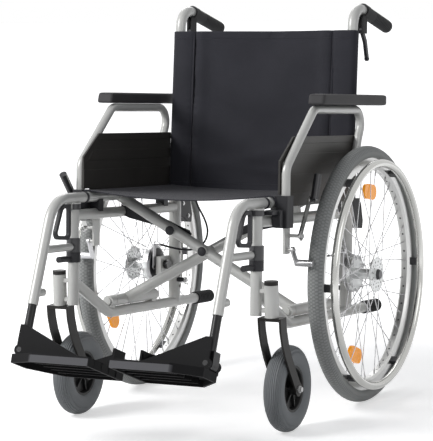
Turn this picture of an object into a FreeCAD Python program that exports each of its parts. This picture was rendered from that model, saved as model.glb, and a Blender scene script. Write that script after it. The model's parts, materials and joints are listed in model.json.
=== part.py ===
import FreeCAD, Part
import Sketcher
import math
import os
from FreeCAD import Placement, Rotation, Vector

# Folding self-propelled wheelchair, in millimetres.
# +X is the user's left, +Y is the back, +Z is up. The origin lies on the floor in the middle of the chair.
# Two placements carry the pieces. The level one starts on the floor below the rear axle.
# The leaning one starts in the rear axle and is tilted back with the side frames.

doc = FreeCAD.newDocument("wheelchair")
sheet = doc.addObject("Spreadsheet::Sheet", "Sizes")
rows = []
nodes = []


class Size:
    """A number together with the sheet expression that gives it."""

    def __init__(self, value, text):
        self.value = float(value)
        self.text = text

    def __float__(self):
        return self.value

    def __add__(self, other):
        return worked_out(self, "+", other)

    def __sub__(self, other):
        return worked_out(self, "-", other)

    def __mul__(self, other):
        return worked_out(self, "*", other)

    def __truediv__(self, other):
        return worked_out(self, "/", other)

    def __radd__(self, other):
        return worked_out(other, "+", self)

    def __rsub__(self, other):
        return worked_out(other, "-", self)

    def __rmul__(self, other):
        return worked_out(other, "*", self)

    def __neg__(self):
        return worked_out(0, "-", self)


def as_size(number):
    if isinstance(number, Size):
        return number
    return Size(number, repr(float(number)))


def worked_out(left, sign, right):
    left = as_size(left)
    right = as_size(right)
    a = left.value
    b = right.value
    value = {"+": a + b, "-": a - b, "*": a * b, "/": a / b if b else 0.0}[sign]
    return Size(value, f"({left.text} {sign} {right.text})")


def cosine(angle):
    return Size(math.cos(math.radians(angle.value)), f"cos({angle.text} * 1deg)")


def sine(angle):
    return Size(math.sin(math.radians(angle.value)), f"sin({angle.text} * 1deg)")


def size(alias, value):
    rows.append(alias)
    cell = f"B{len(rows)}"
    sheet.set(f"A{len(rows)}", alias)
    sheet.set(cell, str(value))
    sheet.setAlias(cell, alias)
    return Size(value, f"Sizes.{alias}")


# Driving sizes of the whole chair.
frame_x = size("frame_x", 234)
wheel_radius = size("wheel_radius", 305)
axle_back = size("axle_back", 216.1)
frame_tilt = size("frame_tilt", 4.2)
seat_gap = size("seat_gap", 0.3)
running_gap = size("running_gap", 0.05)
wall = size("tube_wall", 2)
overrun = size("overrun", 5)
tilt_cos = cosine(frame_tilt)
tilt_sin = sine(frame_tilt)
X = Vector(1, 0, 0)
Y = Vector(0, 1, 0)
Z = Vector(0, 0, 1)


def point(x, y, z):
    return Vector(float(x), float(y), float(z))


def leaning_point(x, y, z):
    """A point of the level placement, given in the leaning one."""
    rise = float(z) - float(wheel_radius)
    back = float(y)
    return Vector(
        float(x),
        back * tilt_cos.value - rise * tilt_sin.value,
        back * tilt_sin.value + rise * tilt_cos.value,
    )


def seat(piece, leaning, x=0, y=0, z=0):
    """Places a piece, its own origin at x, y, z of the level or leaning placement."""
    if leaning:
        back = axle_back + y * tilt_cos + z * tilt_sin
        up = wheel_radius - y * tilt_sin + z * tilt_cos
        turn = Rotation(Vector(-1, 0, 0), frame_tilt.value)
    else:
        back = axle_back + y
        up = as_size(z)
        turn = Rotation()
    piece.Placement = Placement(point(x, back, up), turn)
    for name, value in (("x", as_size(x)), ("y", back), ("z", up)):
        piece.setExpression(f"Placement.Base.{name}", value.text)
    if leaning:
        piece.setExpression("Placement.Rotation.Angle", frame_tilt.text)


def shaped(label, shape, leaning=True):
    """A node whose shape is worked out here from the sheet's sizes."""
    piece = doc.addObject("Part::Feature", label)
    piece.Label = label
    piece.Shape = shape
    seat(piece, leaning)
    nodes.append(piece)
    return piece


def mirrored(label, source):
    """The same node on the other side of the chair."""
    piece = doc.addObject("Part::Mirroring", label)
    piece.Label = label
    piece.Source = source
    piece.Normal = X
    nodes.append(piece)
    return piece


def other_side(shape):
    return shape.mirror(Vector(0, 0, 0), X)


def drawn(body, role, corners, bows=None):
    """A closed outline on a plane of the body, each corner held by the sheet.

    bows gives the rise of an arc over a side whose two ends lie level or upright.
    """
    bows = bows or {}
    sketch = body.newObject("Sketcher::SketchObject", body.Name + "_outline")
    plane = [each for each in body.Origin.OriginFeatures if each.Role == role][0]
    sketch.AttachmentSupport = [(plane, "")]
    sketch.MapMode = "FlatFace"
    corners = [(as_size(h), as_size(v)) for h, v in corners]
    spots = [point(h, v, 0) for h, v in corners]
    count = len(spots)
    starts = []
    for k in range(count):
        a = spots[k]
        b = spots[(k + 1) % count]
        if k in bows:
            along = b - a
            middle = (a + b) * 0.5
            across = Vector(along.y, -along.x, 0)
            across.normalize()
            top = middle + across * float(bows[k])
            sketch.addGeometry(Part.Arc(a, top, b))
            turns_left = (top - a).cross(b - top).z > 0
            starts.append((1, 2) if turns_left else (2, 1))
        else:
            sketch.addGeometry(Part.LineSegment(a, b))
            starts.append((1, 2))
    for k in range(count):
        after = (k + 1) % count
        sketch.addConstraint(Sketcher.Constraint("Coincident", k, starts[k][1], after, starts[after][0]))
    for k in range(count):
        for kind, value in (("DistanceX", corners[k][0]), ("DistanceY", corners[k][1])):
            hold = Sketcher.Constraint(kind, -1, 1, k, starts[k][0], value.value)
            index = sketch.addConstraint(hold)
            if "Sizes" in value.text:
                sketch.setExpression(f"Constraints[{index}]", value.text)
    for k, rise in bows.items():
        first = corners[k]
        last = corners[(k + 1) % count]
        level = abs(first[1].value - last[1].value) < abs(first[0].value - last[0].value)
        chord = last[0] - first[0] if level else last[1] - first[1]
        radius = chord * chord / (rise * 8) + rise / 2
        if radius.value < 0:
            radius = -radius
        index = sketch.addConstraint(Sketcher.Constraint("Radius", k, radius.value))
        sketch.setExpression(f"Constraints[{index}]", radius.text)
    return sketch


def turned(label, corners, bows=None, keep=True, chamber=None):
    """A body revolved about the X axis; corners are x and radius, as is the round chamber's middle."""
    body = doc.addObject("PartDesign::Body", label)
    body.Label = label
    sketch = drawn(body, "XZ_Plane", corners, bows)
    if chamber:
        middle_x, middle_z, radius = chamber
        hole = sketch.addGeometry(Part.Circle(point(middle_x, middle_z, 0), Z, radius.value))
        for kind, value in (("DistanceX", middle_x), ("DistanceY", middle_z)):
            index = sketch.addConstraint(Sketcher.Constraint(kind, -1, 1, hole, 3, value.value))
            sketch.setExpression(f"Constraints[{index}]", value.text)
        index = sketch.addConstraint(Sketcher.Constraint("Radius", hole, radius.value))
        sketch.setExpression(f"Constraints[{index}]", radius.text)
    turn = body.newObject("PartDesign::Revolution", label + "_turn")
    turn.Profile = sketch
    turn.ReferenceAxis = (sketch, ["H_Axis"])
    turn.Angle = 360
    if keep:
        nodes.append(body)
    return body


def plate(label, corners, thickness, bows=None, keep=True):
    """A body cut from a plate that stands upright in the chair; corners are y and z."""
    body = doc.addObject("PartDesign::Body", label)
    body.Label = label
    sketch = drawn(body, "YZ_Plane", corners, bows)
    pad = body.newObject("PartDesign::Pad", label + "_plate")
    pad.Profile = sketch
    pad.Length = thickness.value
    pad.setExpression("Length", thickness.text)
    if keep:
        nodes.append(body)
    return body


def route(points, bend):
    """A wire through the points with each corner rounded by an arc."""
    edges = []
    start = points[0]
    for k in range(1, len(points) - 1):
        corner = points[k]
        back = (points[k - 1] - corner).normalize()
        onward = (points[k + 1] - corner).normalize()
        radius = float(bend[k - 1] if isinstance(bend, (list, tuple)) else bend)
        half = back.getAngle(onward) / 2
        if math.pi / 2 - half < 1e-4:
            continue
        reach = radius / math.tan(half)
        middle = (back + onward).normalize()
        middle = corner + middle * (radius / math.sin(half) - radius)
        a = corner + back * reach
        b = corner + onward * reach
        edges.append(Part.LineSegment(start, a).toShape())
        edges.append(Part.Arc(a, middle, b).toShape())
        start = b
    edges.append(Part.LineSegment(start, points[-1]).toShape())
    return Part.Wire(edges)


def swept(points, bend, radius):
    ring = Part.Wire(Part.Circle(points[0], points[1] - points[0], float(radius)).toShape())
    return route(points, bend).makePipeShell([ring], True, False)


def trimmed(points, length):
    """The same points with both ends moved inward."""
    first = points[0] + (points[1] - points[0]).normalize() * float(length)
    last = points[-1] + (points[-2] - points[-1]).normalize() * float(length)
    return [first] + list(points[1:-1]) + [last]


def tube(points, bend, radius):
    """A hollow tube with closed ends."""
    return swept(points, bend, radius).cut(swept(trimmed(points, wall), bend, radius - wall))


def welded(tubes, solids=()):
    """Tubes given as points, bend and radius, joined into one hollow piece with the solids."""
    outer = [swept(*each) for each in tubes] + list(solids)
    inner = [swept(trimmed(points, wall), bend, radius - wall) for points, bend, radius in tubes]
    return outer[0].multiFuse(outer[1:]).cut(inner)


def rod(start, end, radius):
    axis = end - start
    return Part.makeCylinder(float(radius), axis.Length, start, axis)


def block(x, y, z):
    """A box between two values on each axis."""
    low = point(min(map(float, x)), min(map(float, y)), min(map(float, z)))
    high = point(max(map(float, x)), max(map(float, y)), max(map(float, z)))
    span = high - low
    return Part.makeBox(span.x, span.y, span.z, low)


def softened(shape, radius, chosen=None):
    """Rounds the chosen edges, or all of them, by at most what the walls allow."""
    edges = [each for each in shape.Edges if chosen is None or chosen(each)]
    return shape.makeFillet(float(radius), edges)


def slab(outline, direction, thickness):
    """A flat outline of points, pushed along a direction."""
    face = Part.Face(Part.makePolygon(list(outline) + [outline[0]]))
    return face.extrude(direction.normalize() * float(thickness))


# Side frame: round steel tubes welded in one plane, with the caster head outside the front upright,
# a plate for the axle and blocks that hold the cross brace's pin just over the lower rail.
upright_y = size("front_upright_forward", 457)
upright_radius = size("front_upright_radius", 13)
upright_low = size("front_upright_low", 65)
upright_top = size("front_upright_top", 165)
rail_radius = size("rail_radius", 12.5)
rail_z = size("upper_rail_height", 142)
diagonal_z = size("diagonal_drop", 10)
lower_z = size("lower_rail_drop", 96)
lower_bend_y = size("lower_bend_forward", 292)
lower_end_y = size("lower_rail_back", 150)
frame_bend = size("frame_bend", 50)
rear_y = size("rear_upright_back", 40)
rear_radius = size("rear_upright_radius", 15)
rear_top = size("rear_upright_top", 156)
plate_x = size("axle_plate_x", 240)
plate_thick = size("axle_plate_thick", 14)
plate_front = size("axle_plate_forward", 22)
plate_low = size("axle_plate_drop", 25)
plate_top = size("axle_plate_top", 20)
axle_radius = size("axle_radius", 6)
hole_pitch = size("axle_hole_pitch", 28)
hole_radius = size("axle_hole_radius", 4)
head_x = size("caster_head_x", 271)
head_y = size("caster_head_forward", 456)
head_low = size("caster_head_low", 271)
head_top = size("caster_head_top", 343)
head_radius = size("caster_head_radius", 16)
stem_radius = size("caster_stem_radius", 9)
gusset_thick = size("gusset_thick", 9)
gusset_wide = size("gusset_wide", 14)
gusset_low = size("lower_gusset_height", 281)
gusset_high = size("upper_gusset_height", 325)
hinge_z = size("brace_hinge_drop", 69)
hinge_front = size("brace_hinge_forward", 272)
hinge_back = size("brace_hinge_rearward", 90)
hinge_pin = size("brace_hinge_pin_radius", 6)
hinge_block = size("brace_hinge_block_length", 24)
hinge_half = size("brace_hinge_barrel_radius", 13)
hinge_web = size("brace_hinge_web_half", 7)
hinge_cap = size("brace_hinge_cap_radius", 9)
cap_thick = size("brace_hinge_cap_thick", 3)
sleeve_radius = size("sleeve_radius", 13.5)
arm_radius = size("cross_arm_radius", 13)
arm_front = size("front_arm_forward", 249)
arm_gap = size("cross_arm_gap", 12)
link_thick = size("guide_link_thick", 3.5)
link_side = size("guide_link_side_gap", 1)
link_pin = size("guide_link_pin_radius", 4)
link_x = size("guide_link_pin_x", 224)
link_z = size("guide_link_pin_height", 163)
lug_wide = size("guide_lug_wide", 16)
lock_x = size("lock_lug_x", 245)
lock_thick = size("lock_lug_thick", 5)
lock_y = size("lock_pin_forward", 327)
lock_z = size("lock_pin_height", 106)
arm_pin_y = size("lock_arm_pin_forward", 334)
arm_pin_z = size("lock_arm_pin_height", 74.6)
lock_pin = size("lock_pin_radius", 4)
lock_margin = size("lock_lug_margin", 10)
lever_x = size("lock_lever_x", 277.4)
lever_thick = size("lock_lever_thick", 4)
lock_arm_x = size("lock_arm_x", 262)
lock_arm_thick = size("lock_arm_thick", 4)
pin_head = size("pin_head_thick", 3)

arm_rear = arm_front - arm_radius * 2 - arm_gap
gap_front = arm_front - arm_radius
front_link = gap_front - link_side
rear_link = arm_rear + arm_radius + link_side + link_thick


def side_frame(lug_at):
    """lug_at is how far forward the guide link's lug starts; the link runs beside it."""
    front = -upright_y
    tubes = [
        ([point(frame_x, front, -upright_low), point(frame_x, front, upright_top)], 0, upright_radius),
        ([point(frame_x, front, rail_z), point(frame_x, rear_y, rail_z)], 0, rail_radius),
        (
            [
                point(frame_x, front, -diagonal_z),
                point(frame_x, -lower_bend_y, -lower_z),
                point(frame_x, lower_end_y, -lower_z),
            ],
            frame_bend,
            rail_radius,
        ),
        ([point(frame_x, rear_y, -lower_z), point(frame_x, rear_y, rear_top)], 0, rear_radius),
    ]
    axle_plate = block(
        (plate_x, plate_x + plate_thick), (-plate_front, rear_y), (-plate_low, plate_top)
    )
    head_foot = leaning_point(head_x, -head_y, head_low)
    head_cap = leaning_point(head_x, -head_y, head_top)
    head = rod(head_foot, head_cap, head_radius)
    up = (head_cap - head_foot).normalize()
    gussets = []
    for height in (gusset_low, gusset_high):
        spot = leaning_point(frame_x, -head_y, height)
        sheet_metal = block((frame_x, head_x), (-gusset_wide / 2, gusset_wide / 2), (0, gusset_thick))
        sheet_metal.translate(Vector(0, spot.y, spot.z))
        gussets.append(sheet_metal)
    blocks = []
    for edge, way in ((-hinge_front - seat_gap, -1), (-hinge_back + seat_gap, 1)):
        far = edge + hinge_block * way
        blocks.append(rod(point(frame_x, edge, -hinge_z), point(frame_x, far, -hinge_z), hinge_half))
        blocks.append(block((frame_x - hinge_web, frame_x + hinge_web), (edge, far), (-lower_z, -hinge_z)))
        blocks.append(rod(point(frame_x, far, -hinge_z), point(frame_x, far + cap_thick * way, -hinge_z), hinge_cap))
    pin = rod(point(frame_x, -hinge_front - overrun, -hinge_z), point(frame_x, -hinge_back + overrun, -hinge_z), hinge_pin)
    lug = block(
        (link_x - lug_wide / 2, frame_x),
        (-lug_at, -lug_at + link_thick),
        (rail_z, link_z + link_pin + link_side),
    )
    link_bolt = rod(point(link_x, -front_link, link_z), point(link_x, -rear_link + link_thick, link_z), link_pin)
    lock_lug = block(
        (lock_x, lock_x + lock_thick),
        (-arm_pin_y - lock_margin, -lock_y + lock_margin),
        (arm_pin_z - lock_margin, rail_z),
    )
    lever_pin = rod(
        point(lock_x, -lock_y, lock_z), point(lever_x + lever_thick + seat_gap, -lock_y, lock_z), lock_pin
    )
    arm_pin = rod(
        point(lock_x, -arm_pin_y, arm_pin_z),
        point(lock_arm_x + lock_arm_thick + seat_gap, -arm_pin_y, arm_pin_z),
        lock_pin,
    )
    metal = welded(
        tubes,
        [axle_plate, head, pin, lug, link_bolt, lock_lug, lever_pin, arm_pin] + gussets + blocks,
    )
    cuts = [
        rod(head_foot - up * overrun.value, head_cap + up * overrun.value, stem_radius + running_gap),
        rod(point(plate_x - overrun, 0, 0), point(plate_x + plate_thick + overrun, 0, 0), axle_radius + running_gap),
    ]
    for step in (-2, -1, 1, 2, 3):
        height = hole_pitch * step
        inner = frame_x - rear_radius
        cuts.append(rod(point(inner - overrun, rear_y, height), point(inner + wall * 2, rear_y, height), hole_radius))
    return metal.cut(cuts)


shaped("left_side_frame", side_frame(front_link))
shaped("right_side_frame", other_side(side_frame(rear_link)))

# Back post: a tube bent back into the push handle, standing on the rear upright.
post_radius = size("post_radius", 12.5)
post_foot = size("post_straight_foot", 190)
post_corner_y = size("post_corner_back", 66)
post_corner_z = size("post_corner_height", 643.5)
post_bend = size("handle_bend", 45)
post_foot_bend = size("post_foot_bend", 300)
grip_end_y = size("grip_end_back", 275)
grip_end_z = size("grip_end_height", 597.5)
post = [
    point(frame_x, rear_y, rear_top + seat_gap),
    point(frame_x, rear_y, post_foot),
    point(frame_x, post_corner_y, post_corner_z),
    point(frame_x, grip_end_y, grip_end_z),
]
left_post = shaped("left_back_post", tube(post, [post_foot_bend, post_bend], post_radius))
mirrored("right_back_post", left_post)

# Grip: a ribbed rubber sleeve on the handle, with the clamp of the hand brake in front of it.
grip_radius = size("grip_radius", 16)
grip_length = size("grip_length", 112)
grip_end = size("grip_end_wall", 3)
grip_rib = size("grip_rib_depth", 1)
clamp_long = size("lever_clamp_length", 24)
clamp_back = size("lever_clamp_from_grip", 46)
clamp_radius = size("lever_clamp_radius", 17)
lever_in = size("brake_lever_pivot_from_grip", 38.21)
lever_under = size("brake_lever_pivot_below", 47.91)
lever_pin = size("brake_lever_pin_radius", 4)
cheek = size("lever_cheek_thick", 4)
blade = size("brake_lever_thick", 7)
cheek_top = size("lever_cheek_height", 41.6)
boss_radius = size("brake_lever_boss_radius", 8)
handle_way = (post[3] - post[2]).normalize()
grip_start = post[3] - handle_way * float(grip_length)
grip_cap = post[3] + handle_way * float(grip_end)
grip = rod(grip_start, grip_cap, grip_radius)
grip = softened(grip, grip_end, lambda edge: edge.Closed)
grooves = []
rib_count = 12
rib_lead = 1.5
for k in range(rib_count):
    spot = grip_start + handle_way * (float(grip_length) * (k + rib_lead) / (rib_count + 2))
    after = spot + handle_way * float(grip_rib * 2)
    ring = rod(spot, after, grip_radius + overrun).cut(rod(spot, after, grip_radius - grip_rib))
    grooves.append(ring)
handle_down = handle_way.cross(X)
lever_spot = grip_start - handle_way * float(lever_in) + handle_down * float(lever_under)
lever_y = lever_spot.y
lever_z = lever_spot.z
clamp_start = grip_start - handle_way * float(clamp_back)
clamp = rod(clamp_start, clamp_start + handle_way * float(clamp_long), clamp_radius)
bridge = rod(clamp_start + handle_way * float(clamp_long / 2), grip_start + handle_way * overrun.value, grip_radius)
cheeks = []
for side in (-1, 1):
    inner = blade / 2 + seat_gap
    x_values = (frame_x + inner * side, frame_x + (inner + cheek) * side)
    y_values = (lever_y - boss_radius, lever_y + boss_radius * 2)
    cheeks.append(block(x_values, y_values, (lever_z - boss_radius, lever_z + cheek_top)))
lever_bolt = rod(
    point(frame_x - blade / 2 - cheek, lever_y, lever_z), point(frame_x + blade / 2 + cheek, lever_y, lever_z), lever_pin
)
grip = grip.cut(grooves).multiFuse([clamp, bridge, lever_bolt] + cheeks)
hollow = swept(post[:3] + [post[3] + handle_way * seat_gap.value], [post_foot_bend, post_bend], post_radius + running_gap)
left_grip = shaped("left_grip", grip.cut(hollow))
mirrored("right_grip", left_grip)

# Hand brake lever: a flat bent blade below the grip, pulled up towards it.
tip_back = size("brake_lever_tip_back", 34.7)
tip_down = size("brake_lever_tip_drop", 68.4)
knee_back = size("brake_lever_knee_back", 21)
knee_down = size("brake_lever_knee_drop", 27)
blade_wide = size("brake_lever_wide", 11)


def bar(points, wide, thick, x):
    """A flat bar with round ends through the points, thick along X from x."""
    shapes = []
    for a, b in zip(points, points[1:]):
        start = point(x, *a)
        end = point(x, *b)
        across = (end - start).cross(X).normalize() * float(wide / 2)
        shapes.append(slab([start + across, end + across, end - across, start - across], Vector(1, 0, 0), thick))
    for each in points:
        shapes.append(Part.makeCylinder(float(wide / 2), float(thick), point(x, *each), Vector(1, 0, 0)))
    return shapes[0].multiFuse(shapes[1:])


knee_spot = (lever_y + knee_back, lever_z - knee_down)
tip_spot = (lever_y + tip_back, lever_z - tip_down)
lever = bar([(lever_y, lever_z), knee_spot, tip_spot], blade_wide, blade, frame_x - blade / 2)
boss = Part.makeCylinder(float(boss_radius), float(blade), point(frame_x - blade / 2, lever_y, lever_z), X)
lever_bore = rod(
    point(frame_x - blade, lever_y, lever_z), point(frame_x + blade, lever_y, lever_z), lever_pin + running_gap
)
left_lever = shaped("left_brake_lever", lever.fuse(boss).cut(lever_bore))
mirrored("right_brake_lever", left_lever)

# Rear axle: a bolt through the frame's plate, with a nut inside, a spacer and a cap outside.
nut_radius = size("axle_nut_radius", 11)
nut_thick = size("axle_nut_thick", 11)
drum_x = size("brake_plate_x", 262)
spacer_radius = size("axle_spacer_radius", 9)
hub_end = size("hub_end_x", 334)
cap_radius = size("axle_cap_radius", 13)
cap_long = size("axle_cap_length", 7)
axle_start = plate_x - seat_gap - nut_thick
left_axle = turned(
    "left_axle",
    [
        (axle_start, 0),
        (axle_start, nut_radius),
        (plate_x - seat_gap, nut_radius),
        (plate_x - seat_gap, axle_radius),
        (plate_x + plate_thick + seat_gap, axle_radius),
        (plate_x + plate_thick + seat_gap, spacer_radius),
        (drum_x - seat_gap, spacer_radius),
        (drum_x - seat_gap, axle_radius),
        (hub_end + seat_gap, axle_radius),
        (hub_end + seat_gap, cap_radius),
        (hub_end + seat_gap + cap_long, cap_radius - cap_thick),
        (hub_end + seat_gap + cap_long, 0),
    ],
)
seat(left_axle, False, 0, 0, wheel_radius)
mirrored("right_axle", left_axle)

# Drum brake: a fixed dished plate next to the hub, and the arm that the cable pulls.
drum_thick = size("brake_plate_thick", 8)
drum_radius = size("brake_plate_radius", 46)
drum_lip = size("brake_plate_lip", 4)
cam_y = size("brake_cam_forward", 26)
cam_z = size("brake_cam_drop", 6)
cam_radius = size("brake_cam_radius", 4)
brake_arm_x = size("brake_arm_x", 256)
brake_arm_thick = size("brake_arm_thick", 3)
brake_arm_wide = size("brake_arm_wide", 12)
brake_arm_y = size("brake_arm_top_forward", 22)
brake_arm_z = size("brake_arm_top_height", 52)
left_plate = turned(
    "left_plate_disc",
    [
        (drum_x, axle_radius + running_gap),
        (drum_x, drum_radius - drum_lip),
        (drum_x + drum_lip, drum_radius),
        (drum_x + drum_thick, drum_radius),
        (drum_x + drum_thick, axle_radius + running_gap),
    ],
    keep=False,
)
seat(left_plate, False, 0, 0, wheel_radius)
cam = doc.addObject("Part::Cylinder", "left_brake_cam")
cam.Radius = cam_radius.value
cam.setExpression("Radius", cam_radius.text)
cam.setExpression("Height", (drum_x - brake_arm_x + drum_lip).text)
seat(cam, True, brake_arm_x, -cam_y, -cam_z)
cam.setExpression("Placement.Rotation.Angle", None)
cam.Placement.Rotation = Rotation(Y, 90)
drum = doc.addObject("Part::Fuse", "left_brake_plate")
drum.Base = left_plate
drum.Tool = cam
nodes.append(drum)
mirrored("right_brake_plate", drum)
brake_arm = bar([(-cam_y, -cam_z), (-brake_arm_y, brake_arm_z)], brake_arm_wide, brake_arm_thick, brake_arm_x)
cam_bore = rod(
    point(brake_arm_x - overrun, -cam_y, -cam_z), point(brake_arm_x + overrun, -cam_y, -cam_z), cam_radius + running_gap
)
cable_eye = rod(
    point(brake_arm_x - brake_arm_wide, -brake_arm_y, brake_arm_z), point(brake_arm_x, -brake_arm_y, brake_arm_z), cam_radius
)
left_arm = shaped("left_brake_arm", brake_arm.fuse(cable_eye).cut(cam_bore))
mirrored("right_brake_arm", left_arm)

# Rear wheel: hub with a drum and an outer flange, crossed spokes, a deep rim, tyre and handrim.
wheel_x = size("wheel_x", 300.7)
hub_start = size("hub_start_x", 270.5)
hub_drum = size("hub_drum_radius", 44)
hub_drum_end = size("hub_drum_end_x", 280)
hub_radius = size("hub_radius", 13)
flange_x = size("outer_flange_x", 329)
flange_thick = size("flange_thick", 3)
flange_radius = size("outer_flange_radius", 42)
hub_bore = axle_radius + running_gap
left_hub = turned(
    "left_hub",
    [
        (hub_start, hub_bore),
        (hub_start, hub_drum),
        (hub_drum_end, hub_drum),
        (hub_drum_end, hub_drum - flange_thick),
        (hub_drum_end - flange_thick, hub_radius),
        (flange_x, hub_radius),
        (flange_x, flange_radius),
        (flange_x + flange_thick, flange_radius),
        (flange_x + flange_thick, hub_radius),
        (hub_end, hub_radius),
        (hub_end, hub_bore),
    ],
)
seat(left_hub, False, 0, 0, wheel_radius)
mirrored("right_hub", left_hub)

tyre_high = size("tyre_height", 28)
rim_half = size("rim_half_width", 12)
rim_wall = size("rim_wall", 3.2)
rim_well = size("rim_well_depth", 14)
rim_bevel = size("rim_shoulder_depth", 20)
rim_deep = size("rim_depth", 25)
rim_flat = size("rim_inner_half_width", 7)
rim_outer = wheel_radius - tyre_high
rim_valley = rim_outer - rim_well
rim_shoulder = rim_outer - rim_bevel
rim_inner = rim_outer - rim_deep
left_rim = turned(
    "left_rim",
    [
        (wheel_x - rim_flat, rim_inner),
        (wheel_x - rim_half, rim_shoulder),
        (wheel_x - rim_half, rim_outer),
        (wheel_x - rim_half + rim_wall, rim_outer),
        (wheel_x - rim_half + rim_wall, rim_valley),
        (wheel_x + rim_half - rim_wall, rim_valley),
        (wheel_x + rim_half - rim_wall, rim_outer),
        (wheel_x + rim_half, rim_outer),
        (wheel_x + rim_half, rim_shoulder),
        (wheel_x + rim_flat, rim_inner),
    ],
)
seat(left_rim, False, 0, 0, wheel_radius)
mirrored("right_rim", left_rim)

tyre_half = size("tyre_half_width", 16.5)
tyre_gap = size("tyre_seat_gap", 0.3)
tyre_foot = rim_half - rim_wall - tyre_gap
tyre_edge = rim_outer + tyre_gap
air_share = 10 / 27.7
tyre_air = (wheel_radius - tyre_edge) * air_share
left_tyre = turned(
    "left_tyre",
    [
        (wheel_x - tyre_foot, rim_valley + tyre_gap),
        (wheel_x - tyre_foot, tyre_edge),
        (wheel_x - tyre_half, tyre_edge),
        (wheel_x + tyre_half, tyre_edge),
        (wheel_x + tyre_foot, tyre_edge),
        (wheel_x + tyre_foot, rim_valley + tyre_gap),
    ],
    {2: -(wheel_radius - tyre_edge)},
    chamber=(wheel_x, tyre_edge + tyre_air, tyre_air),
)
seat(left_tyre, False, 0, 0, wheel_radius)
mirrored("right_tyre", left_tyre)

spoke_radius = size("spoke_radius", 1.1)
spoke_hub = size("spoke_hub_radius", 37)
spoke_step = size("spoke_layer_step", 2.6)
nipple_radius = size("nipple_radius", 2)
nipple_length = size("nipple_length", 10)
nipple_gap = size("nipple_gap", 0.6)
rim_layer = size("spoke_rim_offset", 4)
reflector_in = size("reflector_from_rim", 56)
reflector_at = rim_inner - reflector_in
reflector_radius = size("reflector_half_height", 18)
reflector_reach = size("reflector_reach", 18)
reflector_half = size("reflector_half_thick", 3.6)
spokes_per_flange = 9
spoke_cross_angle = 60
left_reflectors = (80, -111)
right_reflectors = (80, -147)


def wheel_point(x, radius, angle):
    turn = math.radians(angle)
    return Vector(float(x), float(radius) * math.cos(turn), float(wheel_radius) + float(radius) * math.sin(turn))


def spoke_set(reflector_angles):
    found = []
    pitch = 360 / spokes_per_flange
    for flange, way, offset in ((flange_x, -1, 0), (hub_drum_end, 1, pitch / 4)):
        for layer in (0, 1):
            for k in range(spokes_per_flange):
                start_angle = k * pitch + offset + layer * pitch / 2
                end_angle = start_angle + spoke_cross_angle * (1 - 2 * layer)
                start_x = flange + (spoke_radius + seat_gap + spoke_step * layer) * way
                end_x = wheel_x - (rim_layer - spoke_step * layer) * way
                start = wheel_point(start_x, spoke_hub, start_angle)
                end = wheel_point(end_x, rim_inner - nipple_gap, end_angle)
                along = (end - start).normalize()
                leg = rod(start, end, spoke_radius)
                nipple = rod(end - along * float(nipple_length), end, nipple_radius)
                found.append(leg.fuse(nipple))
    for angle in reflector_angles:
        spot = wheel_point(wheel_x + seat_gap - reflector_half, reflector_at, angle)
        outward = (spot - wheel_point(wheel_x + seat_gap - reflector_half, 0, angle)).normalize()
        onward = X.cross(outward) * float(reflector_reach)
        rise = outward * float(reflector_radius)
        corners = [spot - onward - rise, spot + onward - rise, spot + onward + rise, spot - onward + rise]
        face = slab(corners, Vector(1, 0, 0), reflector_half * 2)
        ends = [Part.makeCylinder(float(reflector_radius), float(reflector_half * 2), spot + onward * way, X) for way in (-1, 1)]
        found.append(face.multiFuse(ends))
    return Part.makeCompound(found)


shaped("left_spokes", spoke_set(left_reflectors), False)
shaped("right_spokes", other_side(spoke_set(right_reflectors)), False)

handrim_x = size("handrim_x", 337.7)
handrim_step = size("handrim_below_tread", 31.3)
handrim_outer = wheel_radius - handrim_step
handrim_tube = size("handrim_tube_radius", 9.5)
tab_half = size("handrim_tab_half_width", 9)
tab_thick = size("handrim_tab_thick", 5)
tab_angle = -1
tab_count = 6
ring_radius = handrim_outer - handrim_tube
ring = Part.makeTorus(float(ring_radius), float(handrim_tube), point(handrim_x, 0, wheel_radius), X)
ring_hollow = Part.makeTorus(float(ring_radius), float(handrim_tube - wall), point(handrim_x, 0, wheel_radius), X)
tabs = []
for k in range(tab_count):
    tab = block(
        (wheel_x + rim_half + seat_gap, handrim_x - handrim_tube / 2),
        (ring_radius - tab_thick, ring_radius + tab_thick),
        (-tab_half, tab_half),
    )
    tab.rotate(Vector(0, 0, 0), X, tab_angle + k * 360 / tab_count)
    tab.translate(point(0, 0, wheel_radius))
    tabs.append(tab)
left_handrim = shaped("left_handrim", ring.multiFuse(tabs).cut(ring_hollow), False)
mirrored("right_handrim", left_handrim)

# Caster: a fork with its stem in the frame's head tube, the wheel's axle behind the stem.
caster_y = size("caster_axle_forward", 382.4)
caster_radius = size("caster_radius", 98)
caster_half = size("caster_half_width", 22)
caster_bolt = size("caster_bolt_radius", 5)
caster_head = size("caster_bolt_head_radius", 8.1)
caster_hub = size("caster_hub_radius", 22)
caster_hub_half = size("caster_hub_half_width", 23)
caster_rim = size("caster_rim_radius", 52)
groove_half = size("caster_groove_half_width", 1.6)
groove_deep = size("caster_groove_depth", 2.5)
tread_half = size("caster_tread_half_width", 15)
groove_step = size("caster_groove_step", 7)
leg_thick = size("fork_leg_thick", 5)
crown_thick = size("fork_crown_thick", 7)
leg_wide = size("fork_leg_wide", 30)
leg_foot = size("fork_leg_foot_radius", 16)
leg_bow_shares = ((0.14, 0.03), (0.32, 0.14), (0.52, 0.34), (0.76, 0.66))
dome = size("stem_cap_height", 9)
crown_top = head_low - seat_gap
crown_low = crown_top - crown_thick
leg_inner = caster_hub_half + seat_gap
tread = caster_radius - groove_deep
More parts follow.
